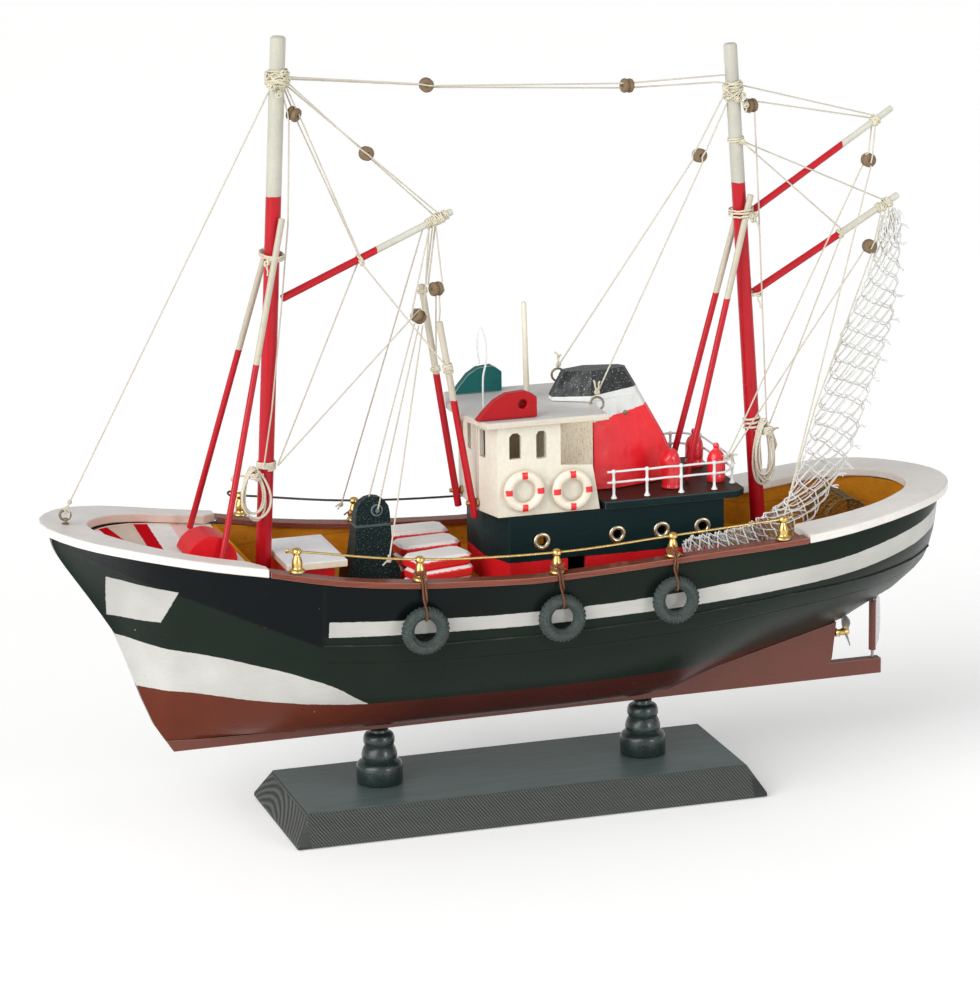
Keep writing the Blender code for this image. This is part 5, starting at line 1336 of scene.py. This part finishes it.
# Running lines
RUNS = (((92.6, 1.2, 322.4), (61.6, 2.9, 292.2), (58.9, 3.2, 290.1), (56.9, 2.9, 288.2),
         (28.6, 1.4, 262.9)), ((92.6, -1.2, 321.0), (61.2, -1.6, 292.7), (56.0, -1.6, 286.9),
                               (29.6, -1.2, 261.5)), ((93.4, 0.9, 321.6), (86.9, 1.2, 306.2),
                                                      (63.2, 1.9, 247.0)),
                                                      ((93.4, -0.9, 319.6), (87.6, -0.6, 303.9),
                                                       (62.4, -1.9, 246.0)),
                                                       ((94.6, 1.6, 318.0), (92.9, 1.9, 309.5),
                                                        (92.3, 1.5, 305.0), (94.5, 3.9, 262.8),
                                                        (98.8, 4.4, 225.0), (104.0, 4.9, 184.0),
                                                        (108.0, 4.7, 160.5)),
                                                        ((35.2, 0.6, 256.2), (61.0, -47.7, 126.1)),
                                                        ((32.6, 1.4, 256.0), (40.6, 1.6, 222.3),
                                                         (41.0, 1.9, 219.2)),
                                                         ((31.8, -1.4, 256.4), (35.2, 1.2, 223.2),
                                                          (34.6, 2.2, 219.6)),
                                                          ((31.0, 1.3, 257.2), (31.9, -8.4, 229.0)),
                                                          ((29.6, 1.3, 258.0), (27.0, 0.8, 232.5),
                                                           (26.2, 0.7, 229.2), (28.4, 0.8, 226.8)),
                                                           ((28.8, -1.2, 258.6), (32.9, -0.4, 232.0)),
                                                           ((28.4, 0.9, 226.6), (28.9, 3.0, 221.0),
                                                            (32.0, 11.6, 217.0)),
                                                            ((29.4, -1.0, 226.8), (27.4, -9.4, 196.0),
                                                             (26.7, -9.6, 194.0)),
                                                             ((62.4, 2.1, 243.6), (29.9, 15.1, 199.2)),
                                                             ((63.0, -1.9, 243.8), (101.8, 3.9, 160.4)),
                                                             ((41.0, 1.8, 220.6), (40.3, 1.6, 222.6),
                                                              (37.0, 1.2, 222.4), (102.0, 4.1, 159.9)),
                                                              ((39.8, 1.6, 216.3), (63.6, 9.3, 144.4)),
                                                              ((38.2, 2.4, 215.4), (60.4, 11.4, 139.0)),
                                                              ((36.4, 2.2, 215.2), (66.0, 47.6, 125.9)),
                                                              ((-101.0, 0.9, 306.7), (-87.6, 1.4, 283.0),
                                                               (-85.8, 1.2, 280.4), (-86.1, 0.6, 278.0),
                                                               (-27.8, -9.8, 190.0)),
                                                               ((-102.6, 0.6, 303.6), (-91.0, 3.0, 281.6),
                                                                (-89.4, 3.2, 279.4), (-89.7, 2.9, 276.9),
                                                                (-37.4, 13.9, 182.0)),
                                                                ((-108.8, 0.7, 308.8),
                                                                 (-169.8, 1.2, 292.0)),
                                                                 ((-116.0, 0.8, 301.4),
                                                                  (-169.4, -1.0, 290.6)),
                                                                  ((-110.4, 1.2, 303.4),
                                                                   (-111.2, 1.2, 298.2),
                                                                   (-112.2, 1.2, 296.4)),
                                                                   ((-113.9, 1.7, 297.2),
                                                                    (-115.2, 3.3, 258.0),
                                                                    (-119.0, 3.4, 161.0)),
                                                                    ((-170.2, 1.2, 289.6),
                                                                     (-168.0, 3.0, 274.4),
                                                                     (-167.2, 3.3, 271.6)),
                                                                     ((-169.4, -0.9, 289.6),
                                                                      (-166.6, 2.0, 275.8),
                                                                      (-165.4, 1.2, 275.2)),
                                                                      ((-164.4, 0.8, 270.6),
                                                                       (-92.4, 24.4, 150.8)),
                                                                       ((-167.4, 3.1, 270.4),
                                                                        (-108.4, 51.2, 127.6)),
                                                                        ((-107.2, 3.5, 285.4),
                                                                         (-174.2, 1.4, 254.6)),
                                                                         ((-108.0, 3.3, 284.6),
                                                                          (-154.0, 1.9, 243.4)),
                                                                          ((-154.4, 1.8, 240.6),
                                                                           (-120.4, 3.6, 159.4)),
                                                                           ((-173.4, 1.6, 252.0),
                                                                            (-169.4, 2.9, 236.6),
                                                                            (-167.7, 3.2, 233.6)),
                                                                            ((-165.2, 1.0, 232.6),
                                                                             (-95.0, 22.4, 151.2)),
                                                                             ((-168.2, 3.0, 231.8),
                                                                              (-150.2, 12.6, 198.0),
                                                                              (-135.2, 20.3, 169.0),
                                                                              (-108.6, 50.6, 128.4)), )
running = [taut(*run) for run in RUNS]
for place in ((61.0, -47.6, 126.6), (66.0, 47.6, 126.4), (-92.6, 24.2, 151.6), (-95.0, 22.4, 151.4)):
    running += knot(place, (0, 0.2, 1), 1.15)
    for n in range(2):
        way = (rng.uniform(-1, 1), rng.uniform(-0.5, 0.5), rng.uniform(-0.6, 1.0))
        running.append(tail(place, way, 3.2, 0.3))
cordage("running_lines", running, 0.35, line_cord, sides=7)

# Lashings
FORE_WAY = (-13.6, 0, 238.3)
AFT_WAY = (13.7, 0, 224.0)


def on_mast(foot, head, z):
    share = (z - foot[2]) / (head[2] - foot[2])
    return np.array(foot) + (np.array(head) - np.array(foot)) * share


def fore_at(z):
    return on_mast((109.2, 0, 103.3), (95.6, 0, 341.6), z)


def aft_at(z):
    return on_mast((-117.0, 0, 103.3), (-103.3, 0, 327.3), z)


lashed = []
for low, turns, reach, pitch, wobble in ((319.8, 8.2, 3.8, 0.95, 0.25), (320.6, 6.4, 4.45, 1.1, 0.5),
                                         (321.8, 4.3, 5.0, 1.15, 0.7)):
    lashed.append(wraps(fore_at(low), FORE_WAY, reach, turns, pitch, wobble=wobble))
lashed.append(wraps(fore_at(323.5), (-0.5, 0.2, 1), 5.2, 1.3, 0.6, wobble=0.5))
lashed.append(wraps(fore_at(324.5), (0.5, 0.3, 1), 5.1, 1.3, 0.4, wobble=0.5))
for place in ((99.6, 4.6, 321.0), (95.2, 4.8, 326.8), (92.9, 2.8, 323.8), (97.4, 5.2, 318.2),
              (101.2, 2.6, 325.4)):
    lashed += knot(place, (rng.uniform(-1, 1), 0.4, rng.uniform(-0.6, 0.6)), 1.9)
for low, turns, reach, pitch, wobble in ((302.6, 5.4, 3.5, 0.95, 0.25), (305.2, 6.3, 3.7, 0.9, 0.3),
                                         (306.4, 3.3, 4.3, 1.1, 0.5)):
    lashed.append(wraps(aft_at(low), AFT_WAY, reach, turns, pitch, wobble=wobble))
lashed.append(wraps(aft_at(306.0), (0.7, 0.2, 1), 4.6, 1.4, 0.5, wobble=0.4))
for place in ((-105.0, 4.4, 303.6), (-109.2, 3.4, 300.8), (-100.4, 3.0, 308.6), (-107.6, 4.4, 305.0)):
    lashed += knot(place, (rng.uniform(-1, 1), 0.4, rng.uniform(-0.6, 0.6)), 1.7)
lashed.append(bent([(-99.0, 3.2, 309.8), (-100.6, 4.0, 307.4), (-104.0, 4.4, 304.6), (-107.6, 4.1, 302.0),
                    (-109.6, 3.2, 299.0), (-108.8, 3.4, 297.6)], 6))
lashed.append(wraps(aft_at(284.4), AFT_WAY, 3.4, 2.4, 0.9, wobble=0.1))
lashed += knot((-107.8, 3.6, 284.8), (1, 0, -0.3), 1.4)
lashed.append(tail((-108.4, 3.9, 284.4), (-0.8, 0.3, -0.4), 3.0))
lashed.append(wraps((101.0, 0, 248.6), FORE_WAY, (8.4, 4.5), 2.6, 0.9, wobble=0.2, fine=22))
lashed.append(wraps((101.0, 0, 249.4), FORE_WAY, (8.9, 4.8), 1.6, 1.0, start=0.8, wobble=0.3, fine=22))
for place in ((103.4, 6.4, 249.0), (104.8, 6.6, 247.6)):
    lashed += knot(place, (1, 0.3, 0.2), 1.7)
lashed.append(tail((104.4, 7.0, 247.4), (0.2, 0.3, -1.0), 3.2))
lashed.append(wraps((-108.4, 0, 251.6), AFT_WAY, (7.2, 4.9), 3.5, 1.25, wobble=0.25, fine=22))
for place in ((-110.8, 6.2, 252.6), (-112.6, 5.8, 253.0), (-111.6, 6.6, 251.2)):
    lashed += knot(place, (1, 0.2, 0.5), 1.6)
lashed.append(tail((-112.0, 6.4, 252.0), (-0.6, 0.2, -1.0), 3.4))
BOOM_WAY = np.array((-75.3, 0, 32.1)) / 81.86
UP_WAY = np.array((-66.5, 0, 42.1)) / 78.7
LOW_WAY = np.array((-67.5, 0, 38.4)) / 77.66
boom_tip = np.array((21.9, 0, 263.0))
for back, turns, reach, pitch, wobble in ((12.5, 6.4, 1.95, 0.9, 0.12), (9.2, 4.6, 2.35, 1.0, 0.3),
                                          (4.6, 2.4, 2.0, 0.9, 0.2)):
    lashed.append(wraps(boom_tip - BOOM_WAY * back, BOOM_WAY, reach, turns, pitch, wobble=wobble))
lashed += knot(boom_tip - BOOM_WAY * 8.0 + (0, 2.4, -0.6), (0.4, 0, 1), 1.6)
lashed += knot(boom_tip - BOOM_WAY * 6.0 + (0, 2.3, -0.8), (1, 0, 0.3), 1.5)
lashed.append(wraps((62.9, 0, 245.5) - BOOM_WAY * 0.9, BOOM_WAY, 2.05, 2.6, 0.75, wobble=0.15))
lashed += knot((62.4, 2.1, 243.9), (0.2, 0, 1), 1.3)
UP_TIP = np.array((-178.1, 0, 294.8))
LOW_TIP = np.array((-181.4, 0, 256.3))
for tip, way, back, turns, reach in ((UP_TIP, UP_WAY, 11.2, 4.6, 1.75), (UP_TIP, UP_WAY, 9.8, 2.5, 2.15),
                                     (LOW_TIP, LOW_WAY, 11.5, 3.6, 1.9), (LOW_TIP, LOW_WAY, 7.6, 3.4, 2.1),
                                     (LOW_TIP, LOW_WAY, 32.4, 2.6, 1.95)):
    lashed.append(wraps(tip - way * back, way, reach, turns, 0.8, wobble=0.15))
lashed += knot(UP_TIP - UP_WAY * 9.6 + (0, 2.0, -0.8), (0.3, 0, 1), 1.5)
lashed += knot(LOW_TIP - LOW_WAY * 8.6 + (0, 2.1, -1.0), (0.3, 0, 1), 1.6)
lashed += knot(LOW_TIP - LOW_WAY * 5.0 + (0, 2.1, -1.2), (0.6, 0, 1), 1.5)
for (low, high), z, turns in ((PORT_DERRICK, 196.2, 3.6), (PORT_DERRICK, 198.2, 2.4),
                              (STARBOARD_DERRICK, 192.0, 2.6), (STARBOARD_DERRICK, 226.6, 2.6)):
    way = np.array(high, float) - np.array(low)
    lashed.append(wraps(on_mast(low, high, z), way, 1.95, turns, 0.8, wobble=0.2))
lashed += knot((30.4, 15.1, 198.2), (0.7, 0, 0.5), 1.5)
lashed += knot((27.0, -8.6, 193.4), (0.2, 0, 1), 1.3)
lashed += knot((-27.7, -9.8, 190.6), (0.5, 0, 0.8), 1.4)
lashed += knot((-37.4, 13.9, 182.6), (0.5, 0, 0.8), 1.4)
for n, place in enumerate(((-27.8, -9.8, 191.4), (-37.4, 14.0, 183.4))):
    lashed.append(tail(place, (0.25, 0.1, 1.0), 5.2, 0.0))
    lashed.append(tail(place, (-0.25, 0.1, 1.0), 3.8, 0.0))
lashed.append(wraps((-114.6, 1.6, 216.4), AFT_WAY, 2.0, 2.2, 0.7, wobble=0.2))
lashed.append(tail((-114.8, 3.0, 215.4), (-0.3, 0.2, -1.0), 4.0, 0.2))
cordage("lashings", lashed, 0.40, lash_cord, sides=7)

# Coils hung at the masts, with the turns that hold them
coiled = [wraps(fore_at(158.2), FORE_WAY, 3.85, 3.3, 0.95, wobble=0.1),
          wraps(aft_at(156.4), AFT_WAY, 3.75, 3.2, 1.9, wobble=0.15)]
coiled.append(hanging_coil((112.9, 4.6, 160.2), 8.0, 23.0, 4, 1.0))
coiled.append(hanging_coil((-116.9, 4.4, 161.8), 5.6, 28.0, 6, 0.8))
coiled.append(wraps((112.4, 5.3, 155.4), (0, 0.1, 1), (1.9, 2.3), 3.2, 0.9, wobble=0.3))
coiled.append(wraps((-118.6, 5.3, 155.0), (0, 0.1, 1), (2.0, 2.4), 4.2, 0.9, wobble=0.3))
coiled.append(bent([(108.4, 5.0, 157.0), (113.8, 5.6, 156.6), (118.6, 4.6, 157.2), (121.6, 4.2, 156.0)], 6))
coiled += knot((121.4, 4.2, 156.2), (1, 0, 0.2), 1.3)
coiled.append(bent([(-119.2, 5.2, 158.0), (-121.6, 5.0, 154.0), (-122.8, 4.8, 150.2), (-122.2, 4.8, 147.4)],
                   6))
coiled += knot((-122.3, 4.8, 150.0), (0.2, 0, 1), 1.2)
coiled.append(tail((-121.4, 4.8, 156.4), (-1.0, 0, 0.5), 3.4, 0.1))
cordage("mast_coils", coiled, 0.52, coil_cord, sides=8)

# Rings, nail and aerial on the roofs
wires = []
for place, way in (((-27.6, -10.0, 185.9), (0.3, 1, 0.1)), ((-37.3, 14.0, 177.6), (0.35, 1, 0.2))):
    wires.append(ring(place, way, 2.75, 0.5, 36, 10))
    wires.append(turned(((0.55, 0), (0.55, 3.0)), (place[0], place[1], place[2] - 5.2), sides=10))
NAIL = ((0.45, 0), (0.45, 1.0), (1.1, 1.05), (1.15, 1.35), (0.9, 1.6))
wires.append(turned(NAIL, (-51.1, 10.0, 171.9), (0.1, 1, 0), 16))
for piece in wires:
    dress(piece, dull_wire, smooth=50)
name_up(joined(wires), "ring_eyes")
aerial = bent([(10.2, 3.0, 177.4), (10.4, 3.0, 183.0), (10.2, 3.0, 191.0), (9.0, 3.0, 196.4),
               (8.6, 3.0, 201.5), (9.4, 3.0, 208.6), (10.9, 3.0, 212.4), (12.3, 3.0, 210.4),
               (12.6, 3.0, 203.0), (12.0, 3.0, 198.0), (12.2, 3.0, 196.6)], 8)
cordage("aerial", [aerial], 0.42, wire_white, 10)

# Net hung from the lower boom, its end gathered along the waterway
NEAR = ((-177.4, 0.8, 253.2), (-173.1, 1.0, 246.2), (-166.4, 3.0, 222.5), (-149.8, 12.0, 197.5),
        (-141.8, 16.0, 178.5), (-133.4, 21.0, 161.9), (-126.3, 25.6, 147.0), (-119.3, 30.0, 134.0),
        (-114.2, 31.4, 130.4), (-107.0, 34.6, 127.6), (-99.2, 38.4, 125.9), (-91.7, 40.2, 124.6),
        (-84.0, 41.0, 123.6), (-74.4, 41.6, 123.2), (-68.9, 41.8, 122.4), (-65.6, 42.0, 120.0))
FAR = ((-180.2, 0.3, 252.4), (-182.3, 1.0, 247.6), (-182.4, 1.0, 232.1), (-179.6, 3.0, 207.7),
       (-171.3, 9.0, 189.8), (-162.9, 15.0, 173.6), (-154.0, 19.6, 153.0), (-146.2, 22.6, 140.4),
       (-138.6, 25.4, 130.6), (-130.0, 28.4, 120.0), (-121.0, 31.6, 110.6), (-112.0, 36.0, 106.2),
       (-100.0, 41.4, 104.6), (-84.0, 43.0, 104.4), (-75.0, 43.0, 104.5), (-66.0, 43.0, 104.8))


def net_place(near, far, s, t, belly):
    """A place on the net: s runs down from the boom, t from its fore edge to its aft edge."""
    span = s * (len(near) - 1)
    a, b = near[int(span)], far[int(span)]
    k = min(int(span) + 1, len(near) - 1)
    share = span - int(span)
    fore = a + (near[k] - a) * share
    aft = b + (far[k] - b) * share
    swell = math.sin(math.pi * t) * belly * min(s * 6, 1.0)
    return fore + (aft - fore) * t + np.array((0.0, swell, 0.0))


near_edge = np.array(bent(NEAR, 10))
far_edge = np.array(bent(FAR, 10))
even = np.linspace(0, 1, 161)
near_edge, far_edge = (np.stack([np.interp(even * (len(e) - 1), np.arange(len(e)), e[:, i])
                                 for i in range(3)], axis=1) for e in (near_edge, far_edge))
middle = (near_edge + far_edge) / 2
far_along = np.concatenate([[0], np.cumsum(np.linalg.norm(np.diff(middle, axis=0), axis=1))])
net_lines, net_knots = [], []
COLUMNS = 6
THREAD = 0.33
for layer, belly in ((0, 2.0), (1, -1.6)):
    rows = []
    reach = 4.0 + 1.5 * layer
    while reach < far_along[-1]:
        rows.append(float(np.interp(reach, far_along, even)))
        reach += 3.7 if reach < 150 else 2.6
    for k in range(COLUMNS + 1):
        nodes = []
        for j, s in enumerate(rows):
            t = min(max((k + 0.5 * (-1) ** (j + k)) / COLUMNS, 0.0), 1.0)
            local = random.Random(1000 * layer + 40 * j + round(t * COLUMNS * 2))
            shake = np.array([local.uniform(-1, 1) for _ in range(3)]) * (0.35, 0.3, 0.5)
            nodes.append(net_place(near_edge, far_edge, s, t, belly) + shake)
            if (j + k) % 2 == 0 and 0 < t < 1:
                net_knots.append(nodes[-1])
        line = []
        for a, b in zip(nodes, nodes[1:]):
            sag = np.array((rng.uniform(-0.3, 0.3), rng.uniform(-0.3, 0.3), -rng.uniform(0.1, 0.8)))
            line += [a, a + (b - a) * 0.33 + sag * 0.8, a + (b - a) * 0.67 + sag]
        net_lines.append(line + [nodes[-1]])
for k in range(3):
    line = []
    reach = far_along[-1] - 62.0
    side = k % 2
    while reach < far_along[-1] - 0.5:
        s = float(np.interp(reach, far_along, even))
        t = (0.02 if side else 0.62) + rng.uniform(0, 0.08)
        shake = np.array([rng.uniform(-0.4, 0.4) for _ in range(3)])
        line.append(net_place(near_edge, far_edge, s, t, 2.0 - 1.6 * k) + shake)
        side = 1 - side
        reach += rng.uniform(0.8, 1.7)
    net_lines.append(line)
for n in range(26):
    s = rng.uniform(0.02, 0.10)
    t = rng.uniform(0, 1)
    a = net_place(near_edge, far_edge, s, t, 1.5)
    net_lines.append(bent([a, a + (rng.uniform(-1.5, 1.5), rng.uniform(-0.8, 0.8), -4.0),
                           a + (rng.uniform(-2, 2), rng.uniform(-1, 1), -8.5)], 4))
for n in range(15):
    s = 0.06 + 0.032 * n
    a = net_place(near_edge, far_edge, s, 1.0, 0)
    for turn in (-0.25, 0.15):
        way = np.array((-1.0, 0.1, turn - (0.9 if n % 3 == 0 else 0.1)))
        net_lines.append(tail(a, way, rng.uniform(2.2, 4.4), 0.1))
    net_knots.append(a)
lumps = [[p - (0.35, 0, 0.25), p, p + (0.35, 0, 0.25)] for p in net_knots]
net = cordage("hung_net", net_lines, THREAD, net_twine, sides=5, instead=("net",))
knots = cordage("net_knots", lumps, 0.42, net_twine, sides=5)

# Half-round trap of wire netting on the aft deck
trap_wire = metal("trap_wire", (0.30, 0.23, 0.11), 0.5, (0.10, 0.07, 0.03), 0.6)
TRAP_X, TRAP_LOW, TRAP_Y = -157.0, 103.6, (-20.0, 4.0)


def trap_arch(reach, size=1.0):
    """A place on the trap's outline at a distance from its fore foot."""
    r = 10.2 * size
    if reach < 7.8:
        return TRAP_X + r, TRAP_LOW + reach
    arc = math.pi * r
    if reach < 7.8 + arc:
        a = (reach - 7.8) / r
        return TRAP_X + r * math.cos(a), TRAP_LOW + 7.8 + 10.6 * math.sin(a)
    return TRAP_X - r, TRAP_LOW + 7.8 - (reach - 7.8 - arc)


trap_lines, hoops = [], []
length = 15.6 + math.pi * 10.2
count = 36
for k in range(11):
    line = []
    for j in range(count + 1):
        x, z = trap_arch(length * j / count)
        y = TRAP_Y[0] + (TRAP_Y[1] - TRAP_Y[0]) * min(max((k + 0.42 * (-1) ** (j + k)) / 10, 0), 1)
        line.append((x, y, z))
    trap_lines.append(line)
for y in (TRAP_Y[0] + 0.2, TRAP_Y[1] - 0.2):
    hoops.append([(x, y, z) for x, z in (trap_arch(length * j / 48) for j in range(49))])
    hoops.append([(TRAP_X - 10.2, y, TRAP_LOW), (TRAP_X + 10.2, y, TRAP_LOW)])
    for k in range(9):
        line = []
        base = -8.6 + 17.2 * k / 8
        for j in range(16):
            z = TRAP_LOW + 1.25 * j
            x = base + 0.95 * (-1) ** (j + k)
            if abs(x) < 10.1 and z < TRAP_LOW + 7.8 + 10.6 * math.sqrt(max(1 - (x / 10.2) ** 2, 0)) - 0.2:
                line.append((TRAP_X + x, y, z))
        trap_lines.append(line)
for x in (-10.2, 10.2):
    hoops.append([(TRAP_X + x, TRAP_Y[0], TRAP_LOW), (TRAP_X + x, TRAP_Y[1], TRAP_LOW)])
hoops.append([(TRAP_X, TRAP_Y[0], TRAP_LOW + 18.4), (TRAP_X, TRAP_Y[1], TRAP_LOW + 18.4)])
cordage("trap_netting", [line for line in trap_lines if len(line) > 2], 0.26, trap_wire, 5,
        instead=("wire_trap",))
cordage("trap_hoops", hoops, 0.42, trap_wire, 8)

# Painted cord laid along the hull as a moulding
skin = bmesh.new()
skin.from_mesh(frame["nodes"]["hull"].data)
tree = BVHTree.FromBMesh(skin)
ridge_z = ((-196, 98.5), (-180, 97.4), (-160, 96.2), (-130, 94.4), (-108, 93.0), (-53, 89.6), (2.5, 88.3),
           (43, 88.9), (93, 91.8), (130, 95.6), (165, 100.6), (188, 104.4))
ridges = []
for side in (1, -1):
    line = []
    for k in range(199):
        x = -194 + k * 1.46
        z = float(np.interp(x, [p[0] for p in ridge_z], [p[1] for p in ridge_z]))
        place, normal = tree.ray_cast(Vector((x, side * 90, z)) * MM, Vector((0, -side, 0)))[:2]
        if place is not None:
            line.append(tuple((place + normal * 0.0002) / MM))
    ridges.append(line)
skin.free()
cordage("hull_moulding", ridges, 0.42, laid("moulding_cord", (0.024, 0.031, 0.027), 2.6, rough=0.22,
                                            dirt=(0.16, 0.16, 0.14), groove=0.3), 8)
